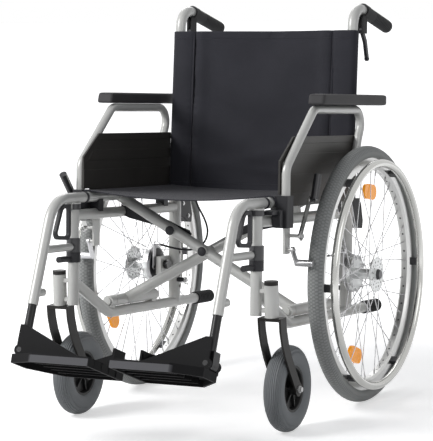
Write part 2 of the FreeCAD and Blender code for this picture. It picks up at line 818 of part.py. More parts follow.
left_caster = turned(
    "left_caster_wheel",
    [
        (-caster_hub_half, caster_bolt + running_gap),
        (-caster_hub_half, caster_hub),
        (-tread_half, caster_hub),
        (-tread_half, caster_rim),
        (-caster_half, caster_rim + groove_deep),
        (-caster_half, caster_radius - overrun * 2),
        (-tread_half, caster_radius),
        (-groove_step - groove_half, caster_radius),
        (-groove_step, tread),
        (-groove_step + groove_half, caster_radius),
        (-groove_half, caster_radius),
        (0, tread),
        (groove_half, caster_radius),
        (groove_step - groove_half, caster_radius),
        (groove_step, tread),
        (groove_step + groove_half, caster_radius),
        (tread_half, caster_radius),
        (caster_half, caster_radius - overrun * 2),
        (caster_half, caster_rim + groove_deep),
        (tread_half, caster_rim),
        (tread_half, caster_hub),
        (caster_hub_half, caster_hub),
        (caster_hub_half, caster_bolt + running_gap),
    ],
)
seat(left_caster, False, head_x, -caster_y, caster_radius)
mirrored("right_caster_wheel", left_caster)
fork = [
    rod(point(head_x, -head_y, crown_low), point(head_x, -head_y, head_top + dome), stem_radius),
    rod(point(head_x, -head_y, head_top + seat_gap), point(head_x, -head_y, head_top + dome), head_radius - seat_gap),
    block(
        (head_x - leg_inner - leg_thick, head_x + leg_inner + leg_thick),
        (-head_y - leg_wide / 2, -head_y + leg_wide / 2),
        (crown_low, crown_top),
    ),
]
for side in (-1, 1):
    start = head_x + (leg_inner if side == 1 else -leg_inner - leg_thick)
    edges = []
    for way in (-1, 1):
        high = -head_y + leg_wide / 2 * way
        low = -caster_y + leg_foot * way
        edge = [point(start, high, crown_top), point(start, high, crown_low)]
        for down_share, back_share in leg_bow_shares:
            leg_z = crown_low - (crown_low - caster_radius) * down_share
            edge.append(point(start, high + (low - high) * back_share, leg_z))
        edge.append(point(start, low, caster_radius))
        edges.append(edge)
    leg = slab(edges[0] + edges[1][::-1], Vector(1, 0, 0), leg_thick)
    foot = Part.makeCylinder(float(leg_foot), float(leg_thick), point(start, -caster_y, caster_radius), X)
    head = Part.makeCylinder(
        float(caster_head), float(pin_head), point(head_x + (leg_inner + leg_thick) * side, -caster_y, caster_radius), X * side
    )
    fork += [leg, foot, head]
fork.append(
    rod(
        point(head_x - leg_inner - leg_thick, -caster_y, caster_radius),
        point(head_x + leg_inner + leg_thick, -caster_y, caster_radius),
        caster_bolt,
    )
)
left_fork = shaped("left_caster_fork", fork[0].multiFuse(fork[1:]), False)
mirrored("right_caster_fork", left_fork)

# Leg-rest hanger: a bent tube that hangs on the front upright by two collars and swings outward.
hanger_x = size("hanger_x", 231)
hanger_radius = size("hanger_radius", 12)
hanger_z = size("hanger_height", 182)
hanger_tail = size("hanger_tail", 47)
hanger_reach = size("hanger_reach", 96.3)
hanger_start = upright_y - hanger_tail
hanger_corner = upright_y + hanger_reach
hanger_bend = size("hanger_bend", 75)
hanger_slope = size("hanger_slope", 0.366)
hanger_end = size("hanger_end_drop", 50)
bar_z = size("hanger_bar_height", 70)
bar_radius = size("hanger_bar_radius", 9)
collar_radius = size("hanger_collar_radius", 16.6)
collar_low = size("lower_collar_low", 58)
collar_high = size("lower_collar_top", 90)
top_collar = size("upper_collar_low", 155.5)
wedge_half = size("wedge_half_width", 6)
wedge_skin = size("wedge_skin", 0.22)
wedge_low = size("wedge_low_height", 156.5)
wedge_reach = size("wedge_reach", 22.7)
wedge_front = upright_y + wedge_reach
knob_radius = size("clamp_knob_radius", 9)
knob_long = size("clamp_knob_length", 22)


def hanger_line(z):
    """The middle of the hanger's lower tube at a height."""
    return point(hanger_x, -hanger_corner + (z - hanger_z) * hanger_slope, z)


hanger_path = [point(hanger_x, -hanger_start, hanger_z), hanger_line(hanger_z), hanger_line(-hanger_end)]
down = (hanger_path[2] - hanger_path[1]).normalize()
foot_bore = hanger_radius - wall
wedge_top = hanger_z - foot_bore - wedge_skin
hanger_outer = swept(hanger_path, hanger_bend, hanger_radius)
bar_start = hanger_line(bar_z)
parts = [
    swept([bar_start, point(hanger_x, -upright_y, bar_z)], 0, bar_radius),
    rod(point(frame_x, -upright_y, collar_low), point(frame_x, -upright_y, collar_high), collar_radius),
    rod(point(frame_x, -upright_y, top_collar), point(frame_x, -upright_y, wedge_top), collar_radius),
    block(
        (hanger_x - wedge_half, hanger_x + wedge_half),
        (-wedge_front, -upright_y + wedge_half),
        (wedge_low, wedge_top),
    ),
    rod(hanger_line(-hanger_end / 2), hanger_line(-hanger_end / 2) + Y * float(hanger_radius + knob_long), knob_radius),
]
hanger = hanger_outer.multiFuse(parts)
inner_path = [
    hanger_path[0] - Y * float(wall),
    hanger_path[1],
    hanger_path[2] + down * overrun.value,
]
hanger = hanger.cut(
    [
        swept(inner_path, hanger_bend, foot_bore),
        rod(
            point(frame_x, -upright_y, -upright_low),
            point(frame_x, -upright_y, upright_top + seat_gap),
            upright_radius + running_gap,
        ),
    ]
)
left_hanger = shaped("left_hanger", hanger)
mirrored("right_hanger", left_hanger)

# Loop on the hanger: a flat moulded frame in the corner under the top tube.
loop_half = size("loop_half_thick", 4)
loop_wide = size("loop_half_wide", 4.6)
loop_bend = size("loop_bend", 11)
loop_top_bend = size("loop_top_bend", 18)
loop_top_share = 59 / 96.3
loop_front_share = 91 / 96.3
loop_front_z = size("loop_front_height", 95)
loop_rise = size("loop_top_gap", 0.7)
loop_back_z = size("loop_back_height", 91)
loop_top_y = upright_y + hanger_reach * loop_top_share
loop_front_y = upright_y + hanger_reach * loop_front_share
loop_top = hanger_z - hanger_radius - loop_rise - loop_wide
loop_back = wedge_front + seat_gap + loop_wide
loop_start = (loop_back + loop_top_y) / 2
loop_path = [
    point(hanger_x, -loop_start, loop_top),
    point(hanger_x, -loop_top_y, loop_top),
    point(hanger_x, -loop_front_y, loop_front_z),
    point(hanger_x, -loop_back, loop_back_z),
    point(hanger_x, -loop_back, loop_top),
    point(hanger_x, -loop_start, loop_top),
]
loop_bends = [loop_top_bend, loop_bend, loop_bend, loop_bend]
loop_wire = route([each - X * float(loop_half) for each in loop_path], loop_bends)
loop_face = Part.Face(loop_wire.makeOffset2D(float(loop_wide)))
loop_hole = Part.Face(loop_wire.makeOffset2D(-float(loop_wide)))
left_loop = shaped("left_hanger_loop", loop_face.cut(loop_hole).extrude(X * float(loop_half * 2)))
mirrored("right_hanger_loop", left_loop)

# Latch lever: a ring below the lower collar with a short handle that frees the hanger.
latch_low = size("latch_low", 34)
latch_thick = size("latch_thick", 18)
latch_handle = size("latch_handle_reach", 66)
latch_radius = size("latch_handle_radius", 5)
latch_knob = size("latch_knob_radius", 7)
latch_middle = latch_low + latch_thick / 2
latch_top = collar_low - seat_gap
latch = [
    rod(point(frame_x, -upright_y, latch_low), point(frame_x, -upright_y, latch_top), collar_radius),
    rod(point(frame_x, -upright_y, latch_middle), point(frame_x, -upright_y - latch_handle, latch_middle), latch_radius),
    rod(
        point(frame_x, -upright_y - latch_handle / 2, latch_middle),
        point(frame_x, -upright_y - latch_handle, latch_middle),
        latch_knob,
    ),
]
latch_bore = rod(
    point(frame_x, -upright_y, 0),
    point(frame_x, -upright_y, collar_low),
    upright_radius + running_gap,
)
left_latch = shaped("left_latch_lever", latch[0].multiFuse(latch[1:]).cut(latch_bore))
mirrored("right_latch_lever", left_latch)

# Footrest tube: slides in the hanger and carries the footplate's hinge block at its foot.
# The footplate's own directions are u, back and down along the plate, and n, square to it.
insert = size("footrest_insert", 118)
foot_drop = size("footrest_foot_drop", 128)
plate_tilt = size("footplate_tilt", 22)
plate_from_u = size("footplate_front_from_tube", 66.08)
plate_from_n = size("footplate_below_tube", 57.09)
plate_face = size("footplate_depth", 20)
plate_inner = size("footplate_inner_x", 27)
flip_above = size("footplate_pivot_above", 13)
flip_radius = size("footplate_pin_radius", 6)
flip_sleeve = size("footplate_sleeve_radius", 12)
flip_front = size("footplate_sleeve_front", 44)
flip_back = size("footplate_sleeve_back", 100)
hinge_wide = size("footplate_hinge_from_ear", 13)
hinge_rise = size("footplate_hinge_rise", 28.8)
slope = math.radians(plate_tilt.value - frame_tilt.value)
u_way = Vector(0, math.cos(slope), -math.sin(slope))
n_way = Vector(0, math.sin(slope), math.cos(slope))
foot_end = hanger_line(-foot_drop)
plate_origin = foot_end - u_way * float(plate_from_u) - n_way * float(plate_from_n)


def on_plate(x, u, n):
    spot = plate_origin + u_way * float(u) + n_way * float(n)
    return Vector(float(x), spot.y, spot.z)


def plate_block(x, u, n):
    """A box given in the footplate's own directions."""
    x, u, n = [sorted(map(float, each)) for each in (x, u, n)]
    base = [on_plate(x[0], u[0], n[0]), on_plate(x[1], u[0], n[0]), on_plate(x[1], u[1], n[0]), on_plate(x[0], u[1], n[0])]
    return slab(base, Vector(n_way), n[1] - n[0])


flip_n = plate_face + flip_above
foot_top = hanger_path[2] - down * float(insert)
foot_outer = foot_bore - running_gap
foot_tube = swept([foot_top, foot_end], 0, foot_outer)
foot_hollow = swept([foot_top - down * overrun.value, foot_end - down * float(wall)], 0, foot_outer - wall)
pin_front = on_plate(hanger_x, flip_front, flip_n)
pin_back = on_plate(hanger_x, flip_back, flip_n)
hinge_u = (flip_front + hinge_wide, flip_back - hinge_wide)
hinge_body = plate_block((hanger_x - flip_sleeve, hanger_x + flip_sleeve), hinge_u, (flip_n, flip_n + hinge_rise))
hinge_barrel = rod(on_plate(hanger_x, hinge_u[0], flip_n), on_plate(hanger_x, hinge_u[1], flip_n), flip_sleeve)
foot = foot_tube.cut(foot_hollow).multiFuse([hinge_body, hinge_barrel, rod(pin_front, pin_back, flip_radius)])
left_foot = shaped("left_footrest_tube", foot)
mirrored("right_footrest_tube", left_foot)

# Footplate: a moulded plate with a rim below it, ribs, and two raised fins at its inner end.
# Its two ears turn on the hinge block's pin, so it flips up against the hanger; a gusset stiffens the
# front one.
skin = size("footplate_skin", 5)
front_outer = size("footplate_front_outer_x", 170)
side_x = size("footplate_side_x", 238)
side_front = size("footplate_side_front", 31)
side_back = size("footplate_side_back", 95)
plate_back = size("footplate_back", 168)
rear_outer = size("footplate_rear_outer_x", 175)
fin_high = size("footplate_fin_height", 44)
fin_front = size("footplate_fin_front", 118)
ear_thick = size("footplate_ear_thick", 11)
rib_thick = size("footplate_rib_thick", 4)
stud_radius = size("footplate_stud_radius", 5)
stud_high = size("footplate_stud_height", 2)
rear_inner = size("footplate_rear_inner_x", 29)
rib_shares = (0.2, 0.4, 0.6, 0.8)
outline = [
    (plate_inner, 0),
    (front_outer, 0),
    (side_x, side_front),
    (side_x, side_back),
    (rear_outer, plate_back),
    (rear_inner, plate_back),
]
inner_outline = [
    (plate_inner + skin, skin),
    (front_outer - skin / 2, skin),
    (side_x - skin, side_front + skin / 2),
    (side_x - skin, side_back - skin / 2),
    (rear_outer - skin / 2, plate_back - skin),
    (rear_inner + skin, plate_back - skin),
]
full = slab([on_plate(x, u, 0) for x, u in outline], Vector(n_way), plate_face)
under = slab([on_plate(x, u, -overrun) for x, u in inner_outline], Vector(n_way), plate_face - skin + overrun)
walls = full.cut(under)
pieces = []
for share in rib_shares:
    at = plate_back * share
    pieces.append(plate_block((plate_inner, rear_outer), (at - rib_thick / 2, at + rib_thick / 2), (skin / 2, plate_face)))
fin_top = plate_face + fin_high
pieces.append(plate_block((plate_inner + skin, plate_inner + skin * 2), (fin_front, plate_back), (plate_face - skin, fin_top)))
rear_wall = [
    on_plate(plate_inner + skin, plate_back - skin, plate_face - skin),
    on_plate(plate_inner + skin, plate_back - skin, fin_top),
    on_plate(plate_inner + skin * 3, plate_back - skin, fin_top),
    on_plate(rear_outer - skin * 2, plate_back - skin, plate_face),
    on_plate(rear_outer - skin * 2, plate_back - skin, plate_face - skin),
]
pieces.append(slab(rear_wall, Vector(u_way), skin))
for at in (fin_front + stud_radius * 1.5, plate_back - stud_radius * 3):
    spot = on_plate(plate_inner + skin * 2, at, fin_top - stud_radius * 2)
    pieces.append(rod(spot, spot + X * float(stud_high), stud_radius))
ears = []
web_end = size("footplate_web_end_x", 128)
web_rise = size("footplate_web_rise", 8)
for at in (flip_front, flip_back - ear_thick):
    web = [
        on_plate(side_x, at, plate_face - skin),
        on_plate(side_x, at, flip_n),
        on_plate(hanger_x, at, flip_n + web_rise),
        on_plate(web_end, at, plate_face),
        on_plate(web_end, at, plate_face - skin),
    ]
    ears.append(slab(web, Vector(u_way), ear_thick))
    ears.append(rod(on_plate(hanger_x, at, flip_n), on_plate(hanger_x, at + ear_thick, flip_n), flip_sleeve))
gusset_thick = size("footplate_gusset_thick", 6)
gusset_top = size("footplate_gusset_top", 90)
gusset_end = size("footplate_gusset_end_x", 62)
gusset_flat = size("footplate_gusset_top_length", 13)
gusset = [
    on_plate(side_x, flip_front, plate_face - skin),
    on_plate(side_x, flip_front, flip_n),
    on_plate(hanger_x + flip_radius, flip_front, gusset_top),
    on_plate(hanger_x + flip_radius - gusset_flat, flip_front, gusset_top),
    on_plate(gusset_end, flip_front, plate_face),
    on_plate(gusset_end, flip_front, plate_face - skin),
]
ears.append(slab(gusset, Vector(u_way), gusset_thick))
footplate = walls.multiFuse(pieces + ears)
pin_bore = rod(
    on_plate(hanger_x, 0, flip_n), on_plate(hanger_x, plate_back, flip_n), flip_radius + running_gap
)
left_footplate = shaped("left_footplate", footplate.cut(pin_bore))
mirrored("right_footplate", left_footplate)

# Armrest: a bent tube standing in a socket outside the upper rail, with a pad and a side panel.
rest_x = size("armrest_x", 265)
rest_radius = size("armrest_tube_radius", 10)
rest_foot_y = size("armrest_foot_forward", 374)
rest_foot_z = size("armrest_foot_height", 150)
rest_knee_z = size("armrest_knee_height", 260)
rest_top = size("armrest_top_height", 390)
rest_front_y = size("armrest_top_forward", 227)
rest_back_y = size("armrest_top_back", 66)
rest_tail_y = size("armrest_tail_back", 31.5)
rest_tail_z = size("armrest_tail_height", 322)
rest_end_y = size("armrest_end_forward", 2)
rest_end_z = size("armrest_end_height", 235.5)
rest_bend = size("armrest_bend", 35)
rest_path = [
    point(rest_x, -rest_foot_y, rest_foot_z),
    point(rest_x, -rest_foot_y, rest_knee_z),
    point(rest_x, -rest_front_y, rest_top),
    point(rest_x, rest_back_y, rest_top),
    point(rest_x, rest_tail_y, rest_tail_z),
    point(rest_x, -rest_end_y, rest_end_z),
]
left_rest = shaped("left_armrest_tube", tube(rest_path, [rest_bend] * 4, rest_radius))
mirrored("right_armrest_tube", left_rest)

socket_x = frame_x + rail_radius + seat_gap
socket_outer = size("armrest_socket_outer_x", 276.8)
socket_low = size("armrest_socket_low", 126)
socket_top = size("armrest_socket_top", 198)
socket_half = size("armrest_socket_half_length", 18)
socket_round = size("armrest_socket_round", 3)
socket = block(
    (socket_x, socket_outer), (-rest_foot_y - socket_half, -rest_foot_y + socket_half), (socket_low, socket_top)
)
socket = softened(socket, socket_round, lambda edge: edge.BoundBox.ZLength > socket_round.value)
notch_x = size("armrest_socket_notch_x", 250.4)
notch_low = size("armrest_socket_notch_low", 168)
notch = block(
    (socket_x - overrun, notch_x), (-rest_foot_y - socket_half * 2, -rest_foot_y + socket_half * 2), (notch_low, socket_top * 2)
)
socket_bore = rod(
    point(rest_x, -rest_foot_y, rest_foot_z - seat_gap),
    point(rest_x, -rest_foot_y, socket_top + overrun),
    rest_radius + running_gap,
)
left_socket = shaped("left_armrest_socket", socket.cut([socket_bore, notch]))
mirrored("right_armrest_socket", left_socket)

pad_half = size("armrest_pad_half_width", 21)
pad_x = size("armrest_pad_x", 277)
pad_front = size("armrest_pad_forward", 246)
pad_back = size("armrest_pad_back", 132)
pad_high = size("armrest_pad_height", 23)
pad_lean = size("armrest_pad_front_lean", 8)
pad_round = size("armrest_pad_round", 6)
pad_low = rest_top + rest_radius + seat_gap
left_pad = plate(
    "left_armrest_pad",
    [
        (-pad_front, pad_low),
        (pad_back, pad_low),
        (pad_back, pad_low + pad_high),
        (-pad_front + pad_lean, pad_low + pad_high),
    ],
    pad_half * 2,
)
seat(left_pad, True, pad_x - pad_half, 0, 0)
doc.recompute()
long_edges = [
    f"Edge{k + 1}"
    for k, edge in enumerate(left_pad.Shape.Edges)
    if edge.BoundBox.Center.z > left_pad.Shape.BoundBox.Center.z + pad_round.value / 2
    or edge.BoundBox.ZLength > pad_high.value / 2
]
pad_fillet = left_pad.newObject("PartDesign::Fillet", "left_armrest_pad_round")
pad_fillet.Base = (left_pad.Group[1], long_edges)
pad_fillet.Radius = pad_round.value
pad_fillet.setExpression("Radius", pad_round.text)
mirrored("right_armrest_pad", left_pad)

panel_thick = size("side_panel_thick", 4)
panel_front = size("side_panel_forward", 384)
panel_low = size("side_panel_low", 200)
panel_notch = size("side_panel_notch_forward", 352)
panel_skirt = size("side_panel_skirt_low", 172)
panel_step = size("side_panel_step", 275)
panel_top = size("side_panel_top", 329)
panel_slant = size("side_panel_slant_forward", 312)
panel_back = size("side_panel_back", 45)
left_panel = plate(
    "left_side_panel",
    [
        (-panel_front, panel_low),
        (-panel_notch, panel_low),
        (-panel_notch, panel_skirt),
        (panel_back, panel_skirt),
        (panel_back, panel_top),
        (-panel_slant, panel_top),
        (-panel_front, panel_step),
    ],
    panel_thick,
)
seat(left_panel, True, rest_x - rest_radius - seat_gap - panel_thick, 0, 0)
mirrored("right_side_panel", left_panel)

# Wheel lock: a hand lever on a pin of the frame's lug, and an arm whose peg presses on the tyre.
# The left lock stands drawn back and locked, the right one forward and free.
lock_turn = size("lock_lever_turn", 60)
arm_turn = size("lock_arm_turn", 15)
lever_top_y = size("lock_lever_top_forward", 45)
lever_top_z = size("lock_lever_top_height", 84)
lock_knob_y = size("lock_knob_top_forward", 84)
lock_knob_z = size("lock_knob_top_height", 128)
lever_wide = size("lock_lever_wide", 14)
lock_knob_radius = size("lock_knob_radius", 9)
lock_knob_x = size("lock_knob_x", 291)
peg_y = size("lock_peg_back", 14.4)
peg_z = size("lock_peg_drop", 35.6)
peg_radius = size("lock_peg_radius", 8)
peg_end = size("lock_peg_end_x", 306)


def swung(y, z, pivot_y, pivot_z, turn):
    """A place on a lock piece after the piece has turned about its pin."""
    angle = math.radians(turn)
    back = float(y) * math.cos(angle) - float(z) * math.sin(angle)
    up = float(y) * math.sin(angle) + float(z) * math.cos(angle)
    return (pivot_y + back, pivot_z + up)


def lock_lever(turn):
    def spot(y, z):
        return swung(y, z, -lock_y.value, lock_z.value, -turn)

    root = spot(0, 0)
    bend = spot(-lever_top_y, lever_top_z)
    top = spot(-lock_knob_y, lock_knob_z)
    stem = bar([root, bend], lever_wide, lever_thick, lever_x)
    neck = rod(point(lever_x, *bend), point(lock_knob_x, *bend), lever_wide / 2)
    knob = rod(point(lock_knob_x, *bend), point(lock_knob_x, *top), lock_knob_radius)
    bore = rod(point(lever_x - overrun, *root), point(lever_x + lever_thick + overrun, *root), lock_pin + running_gap)
    return stem.multiFuse([neck, knob]).cut(bore)


def lock_arm(turn):
    def spot(y, z):
        return swung(y, z, -arm_pin_y.value, arm_pin_z.value, turn)

    root = spot(0, 0)
    foot = spot(peg_y, -peg_z)
    stem = bar([root, foot], lever_wide, lock_arm_thick, lock_arm_x)
    peg = rod(point(lock_arm_x, *foot), point(peg_end, *foot), peg_radius)
    far = lock_arm_x + lock_arm_thick + overrun
    bore = rod(point(lock_arm_x - overrun, *root), point(far, *root), lock_pin + running_gap)
    return stem.fuse(peg).cut(bore)


shaped("left_lock_lever", lock_lever(lock_turn.value))
shaped("right_lock_lever", other_side(lock_lever(0)))
shaped("left_lock_arm", lock_arm(arm_turn.value))
shaped("right_lock_arm", other_side(lock_arm(0)))

# Tipping lever: a ribbed rubber foot on the lower rail's rear end.
tip_radius = size("tipping_lever_radius", 16)
tip_end = size("tipping_lever_end_back", 234)
tipper = doc.addObject("Part::Cylinder", "left_tipping_lever")
tipper.Radius = tip_radius.value
tipper.setExpression("Radius", tip_radius.text)
tipper.setExpression("Height", (tip_end - lower_end_y - seat_gap).text)
tip_start = lower_end_y + seat_gap
tipper.Placement = Placement(Vector(0, 0, 0), Rotation(Vector(-1, 0, 0), 90 + frame_tilt.value))
tipper.setExpression("Placement.Rotation.Angle", (frame_tilt + 90).text)
tipper.setExpression("Placement.Base.x", frame_x.text)
tipper.setExpression("Placement.Base.y", (axle_back + tip_start * tilt_cos - lower_z * tilt_sin).text)
tipper.setExpression("Placement.Base.z", (wheel_radius - tip_start * tilt_sin - lower_z * tilt_cos).text)
nodes.append(tipper)
mirrored("right_tipping_lever", tipper)

# Guide link: a flat bar from the upper rail's pin past the cross arm's cap; it steadies the seat tube.
link_reach = size("guide_link_reach", 194)
link_wide = size("guide_link_wide", 16)
link_drop_angle = size("guide_link_drop_angle", 22.8)


def guide_link(at):
    """at is how far forward the bar's front face lies."""
    way = Vector(-math.cos(math.radians(link_drop_angle.value)), 0, -math.sin(math.radians(link_drop_angle.value)))
    across = way.cross(Y).normalize() * float(link_wide / 2)
    start = point(link_x, -at, link_z)
    end = start + way * float(link_reach)
    shape = slab([start + across, end + across, end - across, start - across], Vector(0, 1, 0), link_thick)
    ends = [Part.makeCylinder(float(link_wide / 2), float(link_thick), each, Y) for each in (start, end)]
    bore = rod(start - Y * overrun.value, start + Y * overrun.value, link_pin + running_gap)
    return shape.multiFuse(ends).cut(bore)


shaped("left_guide_link", guide_link(rear_link))
shaped("right_guide_link", other_side(guide_link(front_link)))

# Cross brace: two arms that cross on one bolt. Each has a sleeve that turns on the lower rail's pin
# and, at its top, a seat tube above the other side's upper rail.
seat_z = size("seat_tube_height", 182)
seat_front = size("seat_tube_forward", 404)
seat_back = size("seat_tube_back", 24)
seat_radius = size("seat_tube_radius", 12.5)
bolt_radius = size("cross_bolt_radius", 5)
bolt_head = size("cross_bolt_head_radius", 12)
bolt_cap = size("cross_bolt_head_thick", 4)
guide_at_share = 0.683
cross_z = (seat_z - hinge_z) / 2


def cross_arm(at, with_bolt):
    """at is how far forward the arm's middle lies; its sleeve is on the left."""
    low = point(frame_x, -at, -hinge_z)
    high = point(-frame_x, -at, seat_z)
    tubes = [
        ([low, high], 0, arm_radius),
        ([point(frame_x, -hinge_front, -hinge_z), point(frame_x, -hinge_back, -hinge_z)], 0, sleeve_radius),
        ([point(-frame_x, -seat_front, seat_z), point(-frame_x, seat_back, seat_z)], 0, seat_radius),
    ]
    shape = welded(tubes)
    bore = rod(
        point(frame_x, -hinge_front - overrun, -hinge_z), point(frame_x, -hinge_back + overrun, -hinge_z), hinge_pin + running_gap
    )
    shape = shape.fuse(rod(point(frame_x, -hinge_front, -hinge_z), point(frame_x, -hinge_back, -hinge_z), hinge_pin + wall))
    centre_front = -at - arm_radius
    outside = -1 if with_bolt else 1
    cap_at = low + (high - low) * guide_at_share
    face = -at + arm_radius * outside
    cap = rod(point(cap_at.x, -at, cap_at.z), point(cap_at.x, face + bolt_cap * outside, cap_at.z), hinge_cap)
    shape = shape.fuse(cap)
    if with_bolt:
        head = rod(point(0, centre_front - bolt_cap, cross_z), point(0, -at, cross_z), bolt_head)
        far = -arm_rear + arm_radius + seat_gap
        shank = rod(point(0, -at, cross_z), point(0, far + bolt_cap, cross_z), bolt_radius)
        nut = rod(point(0, far, cross_z), point(0, far + bolt_cap, cross_z), bolt_head - bolt_cap / 2)
        collar = rod(point(0, -at, cross_z), point(0, -gap_front + arm_gap - seat_gap, cross_z), bolt_head)
        return shape.multiFuse([head, shank, nut, collar]).cut(bore)
    hub = rod(point(0, -at - arm_radius, cross_z), point(0, -at + arm_radius, cross_z), bolt_radius + wall)
    bolt_bore = rod(point(0, -at - arm_radius - overrun, cross_z), point(0, -at + arm_radius + overrun, cross_z), bolt_radius + running_gap)
    return shape.fuse(hub).cut([bore, bolt_bore])


shaped("front_cross_arm", cross_arm(arm_front, True))
shaped("rear_cross_arm", other_side(cross_arm(arm_rear, False)))

# Seat cloth: two layers of nylon stretched over the seat tubes, sagging a little more at the front.
cloth = size("seat_cloth_thick", 2.5)
sag_front = size("seat_sag_front", 14)
sag_back = size("seat_sag_back", 8)
cloth_gap = size("cloth_gap", 0.4)
seat_lift = size("seat_cloth_gap", 0.8)
seat_cloth_front = size("seat_cloth_forward", 395)
seat_cloth_drop = size("seat_cloth_side_drop", 14)
cloth_top = seat_z + seat_radius + seat_lift + cloth
cloth_side = frame_x + seat_radius + seat_lift + cloth


def seat_section(y, sag):
    """The cloth's closed outline across the chair."""
    inner_side = cloth_side - cloth
    under = cloth_top - cloth
    low = seat_z + seat_radius - seat_cloth_drop
    turn = cloth_side - seat_radius
    a = [point(-cloth_side, y, low), point(-cloth_side, y, cloth_top - seat_radius / 2), point(-turn, y, cloth_top)]
    b = [point(turn, y, cloth_top), point(cloth_side, y, cloth_top - seat_radius / 2), point(cloth_side, y, low)]
    c = [point(inner_side, y, low), point(inner_side, y, under - seat_radius / 2), point(turn, y, under)]
    e = [point(-turn, y, under), point(-inner_side, y, under - seat_radius / 2), point(-inner_side, y, low)]
    edges = [
        Part.LineSegment(a[0], a[1]).toShape(),
        Part.LineSegment(a[1], a[2]).toShape(),
        Part.Arc(a[2], point(0, y, cloth_top - sag), b[0]).toShape(),
        Part.LineSegment(b[0], b[1]).toShape(),
        Part.LineSegment(b[1], b[2]).toShape(),
        Part.LineSegment(b[2], c[0]).toShape(),
        Part.LineSegment(c[0], c[1]).toShape(),
        Part.LineSegment(c[1], c[2]).toShape(),
        Part.Arc(c[2], point(0, y, under - sag), e[0]).toShape(),
        Part.LineSegment(e[0], e[1]).toShape(),
        Part.LineSegment(e[1], e[2]).toShape(),
        Part.LineSegment(e[2], a[0]).toShape(),
    ]
    return Part.Wire(edges)


seat_shape = Part.makeLoft(
    [seat_section(-seat_cloth_front, sag_front), seat_section(seat_back, sag_back)], True, True
)
shaped("seat_cloth", seat_shape)

# Back cloth: a sling with a sleeve round each post, bowed back a little between them.
back_low = size("back_cloth_low", 187)
back_top = size("back_cloth_top", 580)
back_bow = size("back_cloth_bow", 12)
back_cloth = size("back_cloth_thick", 2.4)
sleeve_in = post_radius + cloth_gap
sleeve_out = sleeve_in + back_cloth
post_way = (post[2] - post[1]).normalize()


def on_post(height):
    """The middle of the post at a height, on the centre plane."""
    share = (float(height) - post[1].z) / (post[2].z - post[1].z)
    spot = post[1] + (post[2] - post[1]) * share
    return Vector(0, spot.y, spot.z)


low_spot = on_post(back_low)
high_spot = on_post(back_top)
front_way = post_way.cross(X).normalize()
if front_way.y > 0:
    front_way = front_way * -1
face_out = low_spot + front_way * sleeve_out.value
face_in = low_spot + front_way * sleeve_in.value
bow = front_way * -back_bow.value
side_out = X * frame_x.value
sling = Part.Wire(
    [
        Part.Arc(face_out - side_out, face_out + bow, face_out + side_out).toShape(),
        Part.LineSegment(face_out + side_out, face_in + side_out).toShape(),
        Part.Arc(face_in + side_out, face_in + bow, face_in - side_out).toShape(),
        Part.LineSegment(face_in - side_out, face_out - side_out).toShape(),
    ]
)
back_shapes = [Part.Face(sling).extrude(high_spot - low_spot)]
sleeves_in = []
for side in (-1, 1):
    start = low_spot + side_out * side
    end = high_spot + side_out * side
    back_shapes.append(rod(start, end, sleeve_out))
    sleeves_in.append(rod(start - post_way * overrun.value, end + post_way * overrun.value, sleeve_in))
shaped("back_cloth", back_shapes[0].multiFuse(back_shapes[1:]).cut(sleeves_in))

# Brake cables: from each lever's clamp down behind the back, below the seat and back to the brake arm.
cable_radius = size("brake_cable_radius", 2.5)
cable_bend = size("brake_cable_bend", 28)
cable_route = [
    (215, 100, 572),
    (212, 76, 520),
    (209, 80, 340),
    (203, 72, 168),
    (152, 62, 100),
    (146, 46, 62),
    (163, 24, 38),
    (205, 8, 36),
    (251, -15.2, 51),
]
left_cable = shaped("left_brake_cable", swept([point(*spot) for spot in cable_route], cable_bend, cable_radius))
mirrored("right_brake_cable", left_cable)

doc.recompute()
os.makedirs("parts", exist_ok=True)
for each in doc.Objects:
    faults = [state for state in each.State if state in ("Invalid", "Error")]
    if faults:
        raise RuntimeError(f"{each.Label} is {faults}")
for each in nodes:
    if each.Shape.isNull() or not each.Shape.isValid():
        raise RuntimeError(f"{each.Label} has no valid shape")
for each in nodes:
    each.Shape.exportStep(os.path.join("parts", each.Label + ".step"))
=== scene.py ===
import bmesh
import bpy
import json
import math
from mathutils import Matrix, Vector

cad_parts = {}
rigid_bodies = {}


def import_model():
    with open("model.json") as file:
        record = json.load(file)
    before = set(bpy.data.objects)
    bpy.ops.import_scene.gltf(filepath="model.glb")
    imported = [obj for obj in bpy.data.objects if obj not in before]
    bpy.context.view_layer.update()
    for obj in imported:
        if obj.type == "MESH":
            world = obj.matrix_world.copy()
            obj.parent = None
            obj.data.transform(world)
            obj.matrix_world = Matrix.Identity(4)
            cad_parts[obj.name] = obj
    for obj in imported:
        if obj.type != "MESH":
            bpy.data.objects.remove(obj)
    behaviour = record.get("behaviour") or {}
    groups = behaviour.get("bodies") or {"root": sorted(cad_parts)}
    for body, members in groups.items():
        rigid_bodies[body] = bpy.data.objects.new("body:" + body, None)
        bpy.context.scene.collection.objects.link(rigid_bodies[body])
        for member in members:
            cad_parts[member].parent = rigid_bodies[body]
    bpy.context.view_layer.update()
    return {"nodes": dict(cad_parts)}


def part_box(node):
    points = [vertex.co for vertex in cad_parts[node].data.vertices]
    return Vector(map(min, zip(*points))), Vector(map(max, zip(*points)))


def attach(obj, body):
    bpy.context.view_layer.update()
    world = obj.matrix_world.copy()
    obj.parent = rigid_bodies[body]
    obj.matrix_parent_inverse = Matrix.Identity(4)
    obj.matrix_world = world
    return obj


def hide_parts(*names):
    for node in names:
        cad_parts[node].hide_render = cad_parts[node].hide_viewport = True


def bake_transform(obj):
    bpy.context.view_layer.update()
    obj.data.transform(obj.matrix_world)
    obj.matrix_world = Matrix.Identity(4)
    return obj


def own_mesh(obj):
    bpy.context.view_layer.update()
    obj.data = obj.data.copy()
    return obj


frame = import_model()
